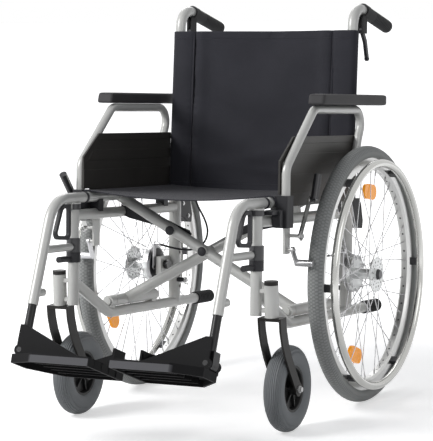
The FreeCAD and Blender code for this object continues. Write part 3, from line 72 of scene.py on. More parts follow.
nodes = frame["nodes"]
SIDES = (("left", 1), ("right", -1))

# Side frames, back posts, hangers, cross arms and armrest tubes are round steel tube, welded and bent,
# with a smooth light grey powder coat. Their shapes come from the frame, and the coat's slight
# unevenness is in the paint's material.


class Wire:
    """A socket of a finish, so that a sum on patterns reads like a sum."""

    def __init__(self, finish, socket):
        self.finish = finish
        self.socket = socket

    def run(self, operation, *values):
        return self.finish.run(operation, *values)

    def __add__(self, other):
        return self.run("ADD", self, other)

    def __radd__(self, other):
        return self.run("ADD", other, self)

    def __sub__(self, other):
        return self.run("SUBTRACT", self, other)

    def __rsub__(self, other):
        return self.run("SUBTRACT", other, self)

    def __mul__(self, other):
        return self.run("MULTIPLY", self, other)

    def __rmul__(self, other):
        return self.run("MULTIPLY", other, self)

    def __truediv__(self, other):
        return self.run("DIVIDE", self, other)

    def __rtruediv__(self, other):
        return self.run("DIVIDE", other, self)

    def __pow__(self, other):
        return self.run("POWER", self, other)

    def __lt__(self, other):
        return self.run("LESS_THAN", self, other)

    def __gt__(self, other):
        return self.run("GREATER_THAN", self, other)


class Finish:
    """A material under construction."""

    def __init__(self, name, colour, roughness, metallic=0.0):
        self.material = bpy.data.materials.new(name)
        self.material.use_nodes = True
        self.tree = self.material.node_tree
        self.shader = self.tree.nodes["Principled BSDF"]
        self.fix("Base Color", (*colour, 1))
        self.fix("Roughness", roughness)
        self.fix("Metallic", metallic)
        self.material.diffuse_color = (*colour, 1)
        self.coordinates = None

    def fix(self, name, value):
        """A constant on one of the shader's own sockets."""
        self.shader.inputs[name].default_value = value

    def add(self, kind, settings=None, inputs=None, output=0):
        """Adds a node, sets it up, feeds its sockets, and gives back one of its outputs."""
        node = self.tree.nodes.new(kind)
        for name, value in (settings or {}).items():
            setattr(node, name, value)
        for name, value in (inputs or {}).items():
            self.feed(node.inputs[name], value)
        return Wire(self, node.outputs[output])

    def run(self, operation, *values):
        """A sum of wires and numbers."""
        return self.add("ShaderNodeMath", {"operation": operation}, dict(enumerate(values)))

    def vectors(self, operation, first, second=(0, 0, 0), output="Vector"):
        """A sum of two vectors; the second may be fixed or fed."""
        inputs = {0: first, 1: second if isinstance(second, Wire) else tuple(second)}
        return self.add("ShaderNodeVectorMath", {"operation": operation}, inputs, output)

    def feed(self, socket, value):
        if isinstance(value, Wire):
            self.tree.links.new(value.socket, socket)
        else:
            socket.default_value = value

    def place(self):
        """The object coordinates, which are the chair's own."""
        if self.coordinates is None:
            self.coordinates = self.add("ShaderNodeTexCoord", output="Object")
        return self.coordinates

    def xyz(self):
        node = self.tree.nodes.new("ShaderNodeSeparateXYZ")
        self.feed(node.inputs[0], self.place())
        return [Wire(self, each) for each in node.outputs]

    def noise(self, scale, detail=2.0, where=None):
        inputs = {"Vector": where or self.place(), "Scale": scale, "Detail": detail}
        return self.add("ShaderNodeTexNoise", {}, inputs)

    def mix(self, factor, first, second):
        """One colour or the other by the factor; both may be fixed or fed."""
        node = self.tree.nodes.new("ShaderNodeMix")
        node.data_type = "RGBA"
        self.feed(node.inputs[0], factor)
        for socket, value in ((node.inputs[6], first), (node.inputs[7], second)):
            self.feed(socket, value if isinstance(value, Wire) else (*value, 1))
        return Wire(self, node.outputs[2])

    def colour(self, value):
        self.feed(self.shader.inputs["Base Color"], value)

    def painted_over(self, mask, tone):
        """Lays a plain tone over the colour that it has, where the mask is 1."""
        base = self.shader.inputs["Base Color"].links[0].from_socket
        self.colour(self.mix(mask, Wire(self, base), tone))

    def rough(self, value):
        self.feed(self.shader.inputs["Roughness"], value)

    def metal(self, value):
        self.feed(self.shader.inputs["Metallic"], value)

    def bump(self, height, distance, strength=0.5):
        node = self.tree.nodes.new("ShaderNodeBump")
        node.inputs["Strength"].default_value = strength
        node.inputs["Distance"].default_value = distance
        self.feed(node.inputs["Height"], height)
        self.feed(self.shader.inputs["Normal"], Wire(self, node.outputs[0]))


def shade(tone, factor):
    return tuple(min(1.0, each * factor) for each in tone)


def dress(finish, *names):
    """Gives CAD nodes a finish."""
    for name in names:
        node = nodes[name]
        if not node.material_slots:
            node.data.materials.append(finish.material)
        for each in node.material_slots:
            each.material = finish.material


def both(word):
    return [f"{side}_{word}" for side, _ in SIDES]


paint_tone = (0.55, 0.55, 0.53)


def paint_finish(name, tone, roughness=0.34, metallic=0.0):
    paint = Finish(name, tone, roughness, metallic)
    cloud = paint.noise(9.0, 3.0)
    grain = paint.noise(900.0, 1.0)
    paint.colour(paint.mix(cloud, shade(tone, 0.9), shade(tone, 1.08)))
    paint.rough(cloud * 0.16 + (roughness - 0.08))
    paint.bump(grain, 0.0002, 0.25)
    paint.fix("Coat Weight", 0.25)
    paint.fix("Coat Roughness", 0.18)
    return paint


silver_paint = paint_finish("silver_paint", paint_tone, metallic=0.1)
dress(silver_paint, *both("side_frame"), *both("back_post"), *both("armrest_tube"))
dress(silver_paint, "front_cross_arm", "rear_cross_arm")

# The leaning frame: side frames and all that is fixed to them tilt back a little about the rear axle.
# Places on leaning pieces are given as x, how far back along the rails, and how far up square to them.
# The side frames' tubes stand frame_x from the middle, and the seat tubes lie seat_tube_up over the axle.
tilt = math.radians(4.2)
axle = Vector((0, 0.2161, 0.305))
back_way = Vector((0, math.cos(tilt), -math.sin(tilt)))
up_way = Vector((0, math.sin(tilt), math.cos(tilt)))
across_way = (1, 0, 0)
frame_x = 0.234
tube_radius = 0.0125
seat_tube_up = 0.182


def leaning(x, back, up):
    """A place on the leaning frame, measured from the rear axle."""
    return axle + Vector((x, 0, 0)) + back_way * back + up_way * up


def near_line(finish, point, way):
    """How far each place lies from a line through a point."""
    offset = finish.vectors("SUBTRACT", finish.place(), point)
    return finish.vectors("LENGTH", finish.vectors("CROSS_PRODUCT", offset, way), output="Value")


def along_line(finish, point, way):
    """How far along a line from a point each place lies."""
    return finish.vectors("DOT_PRODUCT", finish.vectors("SUBTRACT", finish.place(), point), way, "Value")


# Hangers: painted tube like the frame, with black moulded collars where they hang on the front upright.
# Their loops, the latch levers, the armrests' sockets and the brake levers are of the same black plastic.
black_tone = (0.022, 0.022, 0.025)
upright_back = -0.457
collar_radius, collar_top = 0.0235, 0.1685


def plastic_finish(name, tone, roughness=0.48, grain=1400.0):
    plastic = Finish(name, tone, roughness)
    cloud = plastic.noise(14.0, 2.0)
    fine = plastic.noise(grain, 2.0)
    plastic.colour(plastic.mix(cloud, shade(tone, 0.75), shade(tone, 1.35)))
    plastic.rough(fine * 0.14 + (roughness - 0.07))
    plastic.bump(fine, 0.0002, 0.35)
    plastic.fix("Specular IOR Level", 0.28)
    return plastic


black_plastic = plastic_finish("black_plastic", black_tone)
for side, sign in SIDES:
    hanger = paint_finish(f"{side}_hanger_finish", paint_tone, metallic=0.1)
    upright = leaning(frame_x * sign, upright_back, 0)
    collar = near_line(hanger, upright, up_way) < collar_radius
    collar = collar * (along_line(hanger, axle, up_way) < collar_top)
    hanger.painted_over(collar, black_tone)
    hanger.metal(0.1 - collar * 0.1)
    dress(hanger, f"{side}_hanger")

dress(black_plastic, *both("hanger_loop"), *both("latch_lever"), *both("armrest_socket"))
dress(black_plastic, *both("brake_lever"))

# Footrest tubes and footplates: a dark painted steel tube that slides in the hanger, and a black moulded
# plate with a grained face. The plate's front face carries a painted highlight, a paler grey.
dark_paint = paint_finish("dark_paint", (0.011, 0.011, 0.012), 0.34)
dark_paint.fix("Coat Weight", 0.1)
dark_paint.fix("Specular IOR Level", 0.22)
dress(dark_paint, *both("footrest_tube"))
plate_front = Vector((0, axle.y - 0.757, 0.198))
plate_tilt = math.radians(22)
plate_way = Vector((0, math.cos(plate_tilt), -math.sin(plate_tilt)))
plate_up = Vector((0, math.sin(plate_tilt), math.cos(plate_tilt)))
plate_thick, highlight_band_depth = 0.016, 0.004
front_highlight_tone = (0.1, 0.1, 0.106)
footplate = plastic_finish("footplate_plastic", (0.0075, 0.0075, 0.008), 0.55)
footplate.fix("Specular IOR Level", 0.08)
edge = along_line(footplate, plate_front, plate_way)
front = 1 - footplate.run("SMOOTH_MIN", edge / highlight_band_depth, 1.0, 0.1)
below_top = along_line(footplate, plate_front, plate_up) < plate_thick
front_face = footplate.run("MAXIMUM", front, 0.0) * below_top
# Painted highlight: the plate's front face is painted a paler grey.
footplate.painted_over(front_face, front_highlight_tone)
dress(footplate, *both("footplate"))

# Hand grips: ribbed black rubber sleeves with a closed end, pushed on to the bent ends of the back
# posts. The ribs are in the solid, and the fine grain is in the rubber's material.
rubber = plastic_finish("black_rubber", (0.018, 0.018, 0.019), 0.72, 700.0)
dress(rubber, *both("grip"))

# Rear axles, hubs and brake arms: zinc-plated steel. The axle's outer end has a black cap, and its inner
# nut is black. The hubs are turned, show fine rings round the axle and have rings of holes in their
# flanges. The brake plate's dished middle is painted black.
steel_tone = (0.52, 0.52, 0.53)


def steel_finish(name, tone=steel_tone, roughness=0.3):
    steel = Finish(name, tone, roughness, 1.0)
    cloud = steel.noise(30.0, 3.0)
    steel.colour(steel.mix(cloud, shade(tone, 0.72), shade(tone, 1.2)))
    steel.rough(cloud * 0.2 + (roughness - 0.1))
    return steel


steel = steel_finish("plated_steel")
dress(steel, *both("brake_arm"), *both("lock_arm"))
wheel_middle = Vector((0, axle.y, axle.z))
hub = steel_finish("turned_steel", (0.70, 0.71, 0.71), 0.3)
radius = near_line(hub, wheel_middle, across_way)
turning_marks = 9000.0
rings = hub.run("SINE", radius * turning_marks)
hub.bump(rings, 0.0002, 0.3)
x, y, z = hub.xyz()
angle = hub.run("ARCTAN2", z - axle.z, y - axle.y)
depth = hub.run("ABSOLUTE", x)
outer_face, inner_face = 0.3285, 0.2709
faces = hub.run("MAXIMUM", depth > outer_face, depth < inner_face)
holes = 0.0
hole_rings = ((0.0385, 18, 0.0014), (0.0305, 12, 0.0024), (0.0215, 12, 0.0018))
for ring, count, size in hole_rings:
    turns = (angle / (2 * math.pi) + 1) * count
    part = hub.run("FRACT", turns) - 0.5
    arc = part * (2 * math.pi * ring / count)
    gap = (arc * arc + (radius - ring) * (radius - ring)) ** 0.5
    holes = hub.run("MAXIMUM", gap < size, holes)
holes = holes * faces
# Painted shade: the rings of holes in the flanges are painted near black.
hub.painted_over(holes, (0.01, 0.01, 0.01))
hub.metal(1 - holes)
dress(hub, *both("hub"))
drum_plate = steel_finish("brake_plate_finish")
drum_mouth = 0.0395
inner = near_line(drum_plate, wheel_middle, across_way) < drum_mouth
drum_plate.painted_over(inner, black_tone)
drum_plate.metal(1 - inner)
dress(drum_plate, *both("brake_plate"))
axle_cap_x, axle_nut_long = 0.334, 0.016
for side, sign in SIDES:
    cap = steel_finish(f"{side}_axle_finish")
    x = cap.xyz()[0] * sign
    ends = [abs(each.x) for each in map(Vector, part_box(f"{side}_axle"))]
    is_cap = (x > axle_cap_x) + (x < min(ends) + axle_nut_long)
    cap.painted_over(is_cap, black_tone)
    cap.metal(1 - is_cap)
    dress(cap, f"{side}_axle")

# Spokes and reflectors: plated steel wire, and on each wheel two orange prismatic bars with round ends,
# clipped between the spokes. Each bar has a faint painted glow, a painted reflection of the light that it
# throws back.
reflector_tone = (1.0, 0.36, 0.008)
reflector_angles = {"left": (80, -111), "right": (80, -147)}
reflector_ring = 0.196
reflector_reach, reflector_half, reflector_deep = 0.018, 0.0182, 0.0038
wheel_x = 0.3007
for side, sign in SIDES:
    spokes = steel_finish(f"{side}_spoke_finish", (0.55, 0.55, 0.56), 0.25)
    mask = 0.0
    for angle in reflector_angles[side]:
        turn = math.radians(angle)
        away = Vector((0, math.cos(turn), math.sin(turn)))
        spot = wheel_middle + away * reflector_ring
        onward = Vector((0, -math.sin(turn), math.cos(turn)))
        beyond = spokes.run("ABSOLUTE", along_line(spokes, spot, onward)) - reflector_reach
        height = along_line(spokes, spot, away)
        beyond = spokes.run("MAXIMUM", beyond, 0.0)
        bar = (beyond * beyond + height * height) ** 0.5 < reflector_half
        mask = spokes.run("MAXIMUM", bar, mask)
    offset = spokes.run("ABSOLUTE", spokes.xyz()[0] * sign - (wheel_x + 0.0003))
    mask = mask * (offset < reflector_deep)
    spokes.painted_over(mask, reflector_tone)
    spokes.metal(1 - mask)
    # Painted glow: the reflector bars emit a little orange light, standing in for the light they throw
    # back.
    glow = spokes.mix(mask, (0, 0, 0), shade(reflector_tone, 0.28))
    spokes.feed(spokes.shader.inputs["Emission Color"], glow)
    spokes.fix("Emission Strength", 1.0)
    dress(spokes, f"{side}_spokes")

# Rims: satin anodised alloy, with small holes where the nipples sit, painted near black as painted
# shade. Handrims: bright plated steel tube on six black tabs.
alloy_tone = (0.62, 0.62, 0.61)
nipples = 36
nipple_ring, nipple_hole = 0.252, 0.0024
rim = Finish("satin_alloy", alloy_tone, 0.32, 0.85)
cloud = rim.noise(22.0, 3.0)
rim.rough(cloud * 0.18 + 0.22)
x, y, z = rim.xyz()
turns = (rim.run("ARCTAN2", z - axle.z, y - axle.y) / (2 * math.pi) + 1) * nipples
arc = (rim.run("FRACT", turns) - 0.5) * (2 * math.pi * nipple_ring / nipples)
across = rim.run("ABSOLUTE", x) - wheel_x
inside = near_line(rim, wheel_middle, across_way) < nipple_ring + 0.0015
hole = ((arc * arc + across * across) ** 0.5 < nipple_hole) * inside
# Painted shade: the nipple holes are painted near black.
rim.colour(rim.mix(hole, alloy_tone, (0.05, 0.05, 0.05)))
rim.metal(0.85 - hole * 0.85)
dress(rim, *both("rim"))
handrim_radius, handrim_x, handrim_tube = 0.2642, 0.3377, 0.0099
handrim_tone = (0.52, 0.52, 0.50)
for side, sign in SIDES:
    bright = Finish(f"{side}_handrim_finish", (0.66, 0.65, 0.62), 0.2, 0.9)
    cloud = bright.noise(26.0, 3.0)
    x = bright.xyz()[0] * sign
    across = near_line(bright, wheel_middle, across_way) - handrim_radius
    off_ring = (across * across + (x - handrim_x) * (x - handrim_x)) ** 0.5 > handrim_tube
    bright.colour(bright.mix(off_ring, handrim_tone, black_tone))
    bright.metal(0.9 - off_ring * 0.9)
    bright.rough(cloud * 0.08 + 0.07 + off_ring * 0.35)
    dress(bright, f"{side}_handrim")

# Tyres: grey air tyres of moulded rubber, stretched over the rims, with a fine block tread over the
# crown and smooth walls. The tread is low, so it is in the material's bump. The grooves between the
# blocks are painted darker, as painted shade.
tyre_tone = (0.30, 0.308, 0.302)
blocks_round = 230
block_wide = 0.0065
tread_half = 0.0195
tread_from = 0.2905
tyre = Finish("rear_tyre", tyre_tone, 0.7)
x, y, z = tyre.xyz()
across = tyre.run("ABSOLUTE", x) - wheel_x
angle = tyre.run("ARCTAN2", z - axle.z, y - axle.y)
row = (across + tread_half) / block_wide
shift = tyre.run("MODULO", tyre.run("FLOOR", row), 2.0) * 0.5
wave = tyre.run("SINE", (angle * (blocks_round / (2 * math.pi)) + shift) * (2 * math.pi))
cross = tyre.run("SINE", row * math.pi)
lump = tyre.run("MINIMUM", wave * 2 + 1.0, cross * cross * 8)
lump = tyre.run("MAXIMUM", tyre.run("MINIMUM", lump, 1.0), 0.0)
radius = near_line(tyre, wheel_middle, across_way)
tread = (tyre.run("ABSOLUTE", across) < tread_half) * (radius > tread_from)
grain = tyre.noise(500.0, 2.0)
tyre.bump(lump * tread + grain * 0.15, 0.0016, 0.7)
cloud = tyre.noise(6.0, 3.0)
tone = tyre.mix(cloud, shade(tyre_tone, 0.85), shade(tyre_tone, 1.2))
# Painted shade: the grooves between the tread blocks are painted darker.
tyre.colour(tyre.mix((1 - lump) * tread, tone, shade(tyre_tone, 0.78)))
tyre.rough(grain * 0.15 + 0.62)
dress(tyre, *both("tyre"))

# Caster forks: steel plate, bent and welded to its stem, and painted dark. The bolt that holds the wheel
# is plated.
caster_x = 0.271
caster_axle = Vector((caster_x, axle.y - 0.3824, 0.098))
fork_half = 0.0285
fork_bolt = 0.0095
fork_tone = (0.021, 0.0195, 0.0185)
for side, sign in SIDES:
    fork = paint_finish(f"{side}_fork_finish", fork_tone, 0.42)
    fork.fix("Coat Weight", 0.08)
    fork.fix("Specular IOR Level", 0.16)
    outside = fork.run("ABSOLUTE", fork.xyz()[0] * sign - caster_x) > fork_half - 0.0001
    bolt = (near_line(fork, caster_axle, across_way) < fork_bolt) * outside
    fork.painted_over(bolt, steel_tone)
    fork.metal(bolt)
    dress(fork, f"{side}_caster_fork")

# Wheel locks: a bent lever of plated flat steel with a black moulded knob, which turns on a bolt under
# the upper rail and pushes the arm with its peg against the tyre.
knob_from = 0.2825
for side, sign in SIDES:
    lock = steel_finish(f"{side}_lock_finish", (0.58, 0.58, 0.57), 0.3)
    knob = lock.xyz()[0] * sign > knob_from
    lock.painted_over(knob, black_tone)
    lock.metal(1 - knob)
    dress(lock, f"{side}_lock_lever")

# Seat cloth: black woven nylon in two layers, wrapped round both seat tubes and sewn, hanging in a
# shallow trough that is deepest at the front, with a hem along the front and back edges.
nylon_tone = (0.0155, 0.0155, 0.0205)


def keep_piece(name, mesh, finish, body, *replaced, smooth=True):
    """Makes an object from a finished bmesh, dresses it and fixes it to a body."""
    data = bpy.data.meshes.new(name)
    mesh.to_mesh(data)
    mesh.free()
    piece = bpy.data.objects.new(name, data)
    bpy.context.collection.objects.link(piece)
    data.materials.append(finish.material)
    if smooth:
        for face in data.polygons:
            face.use_smooth = True
    if body:
        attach(piece, body)
    if replaced:
        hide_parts(*replaced)
    return piece


def modify(piece, kind, **settings):
    modifier = piece.modifiers.new(kind.lower(), kind)
    for name, value in settings.items():
        setattr(modifier, name, value)
    return modifier


def nylon_finish(name, long_way):
    """Plain weave that runs across the chair and along one more direction in the cloth."""
    nylon = Finish(name, nylon_tone, 0.78)
    a = along_line(nylon, axle, across_way)
    b = along_line(nylon, axle, long_way)
    pitch = 2 * math.pi / 0.0016
    weave = nylon.run("SINE", a * pitch) * nylon.run("SINE", b * pitch)
    cloud = nylon.noise(18.0, 4.0)
    fuzz = nylon.noise(600.0, 2.0)
    nylon.bump(weave * 0.5 + fuzz * 0.6, 0.0005, 0.5)
    tone = nylon.mix(cloud, shade(nylon_tone, 0.8), shade(nylon_tone, 1.5))
    nylon.colour(nylon.mix(weave * 0.25 + 0.25, tone, shade(nylon_tone, 1.9)))
    nylon.rough(fuzz * 0.15 + 0.7)
    nylon.fix("Sheen Weight", 0.1)
    nylon.fix("Specular IOR Level", 0.25)
    nylon.fix("Sheen Roughness", 0.5)
    return nylon


seat_nylon = nylon_finish("seat_nylon", back_way)
cloth_gap = 0.0008
seat_thick = 0.0025
seat_half = frame_x + tube_radius + cloth_gap + seat_thick
seat_top = seat_tube_up + tube_radius + cloth_gap + seat_thick
seat_front = -0.395
seat_back = 0.024
seat_sag = (0.016, 0.008)
wrap_radius = 0.0138
wrap_drop = 0.010


def seat_height(x, back):
    """The cloth's top over the seat tubes and the trough between them."""
    share = (back - seat_front) / (seat_back - seat_front)
    sag = seat_sag[0] + (seat_sag[1] - seat_sag[0]) * share
    over = abs(x) / frame_x
    trough = seat_top - sag * max(0.0, 1 - over * over)
    near_tube = max(0.0, (over - 0.55) / 0.45)
    ripple = math.sin(back * 190 + 1.5 * math.sin(back * 47))
    return trough + 0.0011 * near_tube * ripple * (1 - near_tube * 0.6)


def hem_share(v, wide):
    """1 within a hem at either end of v, and 0 a short step past it."""
    return 1 - min(1.0, max(0.0, (min(v, 1 - v) - wide) / 0.006))


def woven_panel(name, columns, rows, place):
    """A grid of cloth: place turns its own u and v, each 0 to 1, into a point."""
    cloth = bmesh.new()
    bmesh.ops.create_grid(cloth, x_segments=columns, y_segments=rows, size=0.5)
    for vertex in cloth.verts:
        vertex.co = place(vertex.co.x + 0.5, vertex.co.y + 0.5)
    bmesh.ops.recalc_face_normals(cloth, faces=cloth.faces)
    return cloth


def seat_place(u, v, lift=0.0):
    """Across the chair by u, from the outer side of one tube round its top to the other's."""
    back = seat_front + (seat_back - seat_front) * v
    girth = wrap_radius * math.pi / 2
    flat = 2 * (seat_half - wrap_radius)
    run = (wrap_drop + girth) * 2 + flat
    s = u * run
    mirror = 1
    if s > run / 2:
        s = run - s
        mirror = -1
    if s < wrap_drop:
        x = -seat_half - lift
        up = seat_top - wrap_radius - (wrap_drop - s)
    elif s < wrap_drop + girth:
        turn = (s - wrap_drop) / wrap_radius
        x = -seat_half + wrap_radius - (wrap_radius + lift) * math.cos(turn)
        up = seat_top - wrap_radius + (wrap_radius + lift) * math.sin(turn)
    else:
        x = -seat_half + wrap_radius + (s - wrap_drop - girth)
        up = seat_height(x * mirror, back) + lift
    up += 0.0006 * hem_share(v, 0.044)
    return leaning(x * mirror, back, up - 0.0012)


seat = woven_panel("seat", 120, 90, seat_place)
seat_piece = keep_piece("seat_sling", seat, seat_nylon, None, "seat_cloth")
modify(seat_piece, "SOLIDIFY", thickness=0.0024, offset=0)

# Back cloth: the same nylon, with a sewn sleeve over each back post and a bound top edge. It bows back
# a little between the posts, and soft folds run from the sleeves. It is sewn from three parts, a sleeve
# on each post and a middle.
post_low_back, post_low_up = 0.040, 0.190
post_top_back, post_top_up = 0.066, 0.6435
post_lean = math.atan2(post_top_back - post_low_back, post_top_up - post_low_up)
post_up = back_way * math.sin(post_lean) + up_way * math.cos(post_lean)
post_back = back_way * math.cos(post_lean) - up_way * math.sin(post_lean)
back_nylon = nylon_finish("back_nylon", post_up)
back_low = 0.187
back_high = 0.580
sleeve = tube_radius + 0.0004 + 0.0014
seam_x = 0.187
seam_behind = 0.0023
flap = math.hypot(frame_x - seam_x, 2 * sleeve)
around = sleeve * math.pi
back_run = (flap + around + frame_x) * 2


def hump(value, wide):
    """A smooth hump round 0, 1 high."""
    return math.exp(-((value / wide) ** 2))


def back_place(u, v, lift=0.0):
    """From the seam behind one post, round the post's outer side, across the front, and back again."""
    height = back_low + (back_high - back_low) * v
    share = (height - post_low_up) / (post_top_up - post_low_up)
    middle = leaning(0, post_low_back + (post_top_back - post_low_back) * share, height)
    s = u * back_run
    mirror = 1
    if s > back_run / 2:
        s = back_run - s
        mirror = -1
    if s < flap:
        x = -seam_x - (frame_x - seam_x) * s / flap
        depth = -sleeve + seam_behind + (2 * sleeve - seam_behind) * s / flap + lift
    elif s < flap + around:
        turn = (s - flap) / sleeve
        x = -frame_x - (sleeve + lift) * math.sin(turn)
        depth = (sleeve + lift) * math.cos(turn)
    else:
        x = -frame_x + (s - flap - around)
        over = abs(x) / frame_x
        inside = seam_x - abs(x)
        bow = 0.012 * max(0.0, 1 - over * over)
        puff = 0.0042 * hump(inside - 0.020, 0.016)
        if inside < 0:
            puff += 0.0034 * math.sin(math.pi * min(1.0, -inside / (frame_x - seam_x)))
        pinch = 0.0034 * hump(inside, 0.0045)
        ripple = math.sin(v * 96 + 3 * math.sin(v * 23) + x * mirror * 40)
        gather = 0.0011 * ripple * hump(inside, 0.014) * (v * (1 - v) * 4)
        fold = 0.0034 * math.sin(v * 7 + x * mirror * 19) * hump(over - 0.55, 0.3)
        soft = 0.0026 * math.sin(v * 15 + 2.4 * math.sin(x * mirror * 14 + v * 3)) * (1 - over * over)
        crease = 0.0030 * hump(v - 0.22 - 0.45 * x * mirror, 0.045)
        crease += 0.0024 * hump(v - 0.13 + 0.30 * x * mirror, 0.035)
        depth = -sleeve + bow + fold + soft - crease * (1 - over) - puff + pinch + gather - lift
    if s > flap:
        depth -= 0.0007 * hem_share(v, 0.042) * (1 if depth < 0 else -1)
    return middle + Vector((x * mirror, 0, 0)) + post_back * depth


def stitch_row(place, spots, lift=0.0013, long=0.0028, wide=0.0007):
    """Short raised stitches along a row of u and v places on a cloth."""
    rows = bmesh.new()
    for a, b in spots:
        start = place(*a, lift)
        way = place(*b, lift) - start
        away = place(*a, lift + 0.001) - start
        side_way = way.cross(away).normalized() * (wide / 2)
        way = way.normalized() * (long / 2)
        away = away.normalized() * 0.0005
        ring = [start + way, start + side_way, start - way, start - side_way]
        base = [rows.verts.new(each) for each in ring]
        peaks = [rows.verts.new(start + way * half + away) for half in (0.5, -0.5)]
        corners = base + peaks
        for face in ((0, 1, 4), (1, 5, 4), (1, 2, 5), (2, 3, 5), (3, 4, 5), (3, 0, 4), (3, 2, 1, 0)):
            rows.faces.new([corners[each] for each in face])
    bmesh.ops.recalc_face_normals(rows, faces=rows.faces)
    return rows


def row_of(count, at):
    """Pairs of neighbouring places along a row; at turns a share of the row into u and v."""
    return [(at(k / count), at((k + 0.5) / count)) for k in range(count)]


def back_u(x):
    """The share of the back cloth's run at which its front lies at x."""
    return (flap + around + frame_x + x) / back_run


thread = Finish("black_thread", (0.05, 0.05, 0.058), 0.6)
thread.rough(thread.noise(800.0) * 0.2 + 0.5)
sleeve_end = 0.236
hem_rows = (0.045, 0.955)
back_parts = (
    ("right_sleeve", "right_frame", -sleeve_end, -seam_x, 0.0, back_u(-seam_x), 44),
    ("middle", "left_frame", -seam_x, seam_x, back_u(-seam_x), back_u(seam_x), 108),
    ("left_sleeve", "left_frame", seam_x, sleeve_end, back_u(seam_x), 1.0, 44),
)
# Each row: the part, its body, its x from and to, its share of the run from and to, and its columns.
for part, body, first, last, starts, ends, columns in back_parts:
    spread = ends - starts
    cloth = woven_panel(part, columns, 90, lambda u, v, a=starts, b=spread: back_place(a + b * u, v))
    replaced = ["back_cloth"] if part == "middle" else []
    cloth_piece = keep_piece(f"back_{part}", cloth, back_nylon, body, *replaced)
    modify(cloth_piece, "SOLIDIFY", thickness=0.0022, offset=0)
    rows = []
    for x, inward in ((first, 0.0025), (last, -0.0025)):
        if abs(x) == seam_x:
            rows += row_of(96, lambda share, at=back_u(x + inward): (at, 0.008 + 0.984 * share))
    count = round(150 * (last - first) / (2 * sleeve_end))
    for v in hem_rows:
        rows += row_of(count, lambda share, at=v: (back_u(first + (last - first) * share), at))
    stitches = keep_piece(f"back_{part}_stitches", stitch_row(back_place, rows), thread, body, smooth=False)
    if part == "middle":
        for piece in (cloth_piece, stitches):
            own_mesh(piece)
    round(spread * back_run, 3)

# Seat stitching: a double row of black thread along each tube and a row along the front and back hems.
# It lies on the cloth, which spans from one cross arm's seat tube to the other's.
seat_rows = []
for u in (0.085, 0.094, 0.906, 0.915):
    seat_rows += row_of(104, lambda share, at=u: (at, 0.008 + 0.984 * share))
for v in hem_rows:
    seat_rows += row_of(130, lambda share, at=v: (0.07 + 0.86 * share, at))
seat_stitches = keep_piece("seat_stitches", stitch_row(seat_place, seat_rows), thread, None, smooth=False)
seat_ends = [tuple(leaning(x, 0, 0.1)) for x in (-frame_x, frame_x)]
for piece in (seat_piece, seat_stitches):
    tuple(seat_ends[0])
    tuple(seat_ends[1])
    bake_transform(piece)

# Armrest pads: soft moulded foam with a tough grained skin, round at all edges and sloped a little at the
# front, screwed to the armrest tube from below.
pad_skin = plastic_finish("pad_skin", (0.032, 0.031, 0.033), 0.62, 900.0)
pad_x = 0.277
pad_wide = 0.042
pad_front, pad_rear = -0.246, 0.132
pad_bottom, pad_top = 0.4003, 0.4262
pad_slope = 0.008
for side, sign in SIDES:
    pad = bmesh.new()
    bmesh.ops.create_cube(pad, size=1)
    for vertex in pad.verts:
        x = pad_x * sign + vertex.co.x * pad_wide
        slope = pad_slope if vertex.co.z > 0 and vertex.co.y < 0 else 0
        back = (pad_front + pad_rear) / 2 + vertex.co.y * (pad_rear - pad_front) + slope
        up = (pad_bottom + pad_top) / 2 + vertex.co.z * (pad_top - pad_bottom)
        vertex.co = leaning(x, back, up)
    bmesh.ops.subdivide_edges(pad, edges=pad.edges, cuts=3, use_grid_fill=True)
    bmesh.ops.recalc_face_normals(pad, faces=pad.faces)
    pad_piece = keep_piece(f"{side}_pad", pad, pad_skin, f"{side}_armrest", f"{side}_armrest_pad")
    modify(pad_piece, "BEVEL", width=0.006, segments=3, limit_method="ANGLE", angle_limit=math.radians(40))
    modify(pad_piece, "SUBSURF", levels=1, render_levels=1)

# Side panels: black moulded plastic sheet, which hangs on the armrest by three screws. A raised band
# along the top edge, another below it and a raised lower field are moulded in on both faces.
panel_plastic = plastic_finish("panel_plastic", (0.038, 0.036, 0.033), 0.42)
dress(panel_plastic, *both("side_panel"))
top_band = [(-0.3105, 0.3128), (0.0446, 0.3128), (0.0446, 0.3286), (-0.3120, 0.3286)]
middle_band = [(-0.3640, 0.2660), (0.0446, 0.2660), (0.0446, 0.2900), (-0.3420, 0.2900)]
low_field = [(-0.3836, 0.2004), (0.0446, 0.2004), (0.0446, 0.2440), (-0.3836, 0.2440)]
panel_outside, panel_inside = 0.2540, 0.2512
raised_fields = (
    (top_band, panel_outside, 0.2559),
    (top_band, panel_inside, 0.2496),
    (low_field, panel_outside, 0.2555),
    (middle_band, panel_outside, 0.2552),
    (low_field, panel_inside, 0.2498),
    (middle_band, panel_inside, 0.2499),
)


def drawn_out(corners, vec):
    """A slab: the ring of corners drawn out along a vector."""
    slab = bmesh.new()
    face = slab.faces.new([slab.verts.new(spot) for spot in corners])
    risen = bmesh.ops.extrude_face_region(slab, geom=[face])
    moved = [each for each in risen["geom"] if isinstance(each, bmesh.types.BMVert)]
    bmesh.ops.translate(slab, verts=moved, vec=vec)
    bmesh.ops.recalc_face_normals(slab, faces=slab.faces)
    return slab


def slab_piece(outline, low_x, high_x, sign, soft=0.0006):
    """A slab with soft edges: its outline in the leaning frame's back and up, between two distances out."""
    slab = drawn_out([leaning(low_x * sign, *spot) for spot in outline], ((high_x - low_x) * sign, 0, 0))
    edges = [edge for edge in slab.edges if edge.calc_face_angle(0) > 0.3]
    bmesh.ops.bevel(slab, geom=edges, offset=soft, segments=2, profile=0.5, affect="EDGES", material=-1)
    return slab


def joined(shapes):
    """Several bmeshes as one."""
    whole = bmesh.new()
    for shape in shapes:
        part = bpy.data.meshes.new("part")
        shape.to_mesh(part)
        shape.free()
        whole.from_mesh(part)
        bpy.data.meshes.remove(part)
    return whole


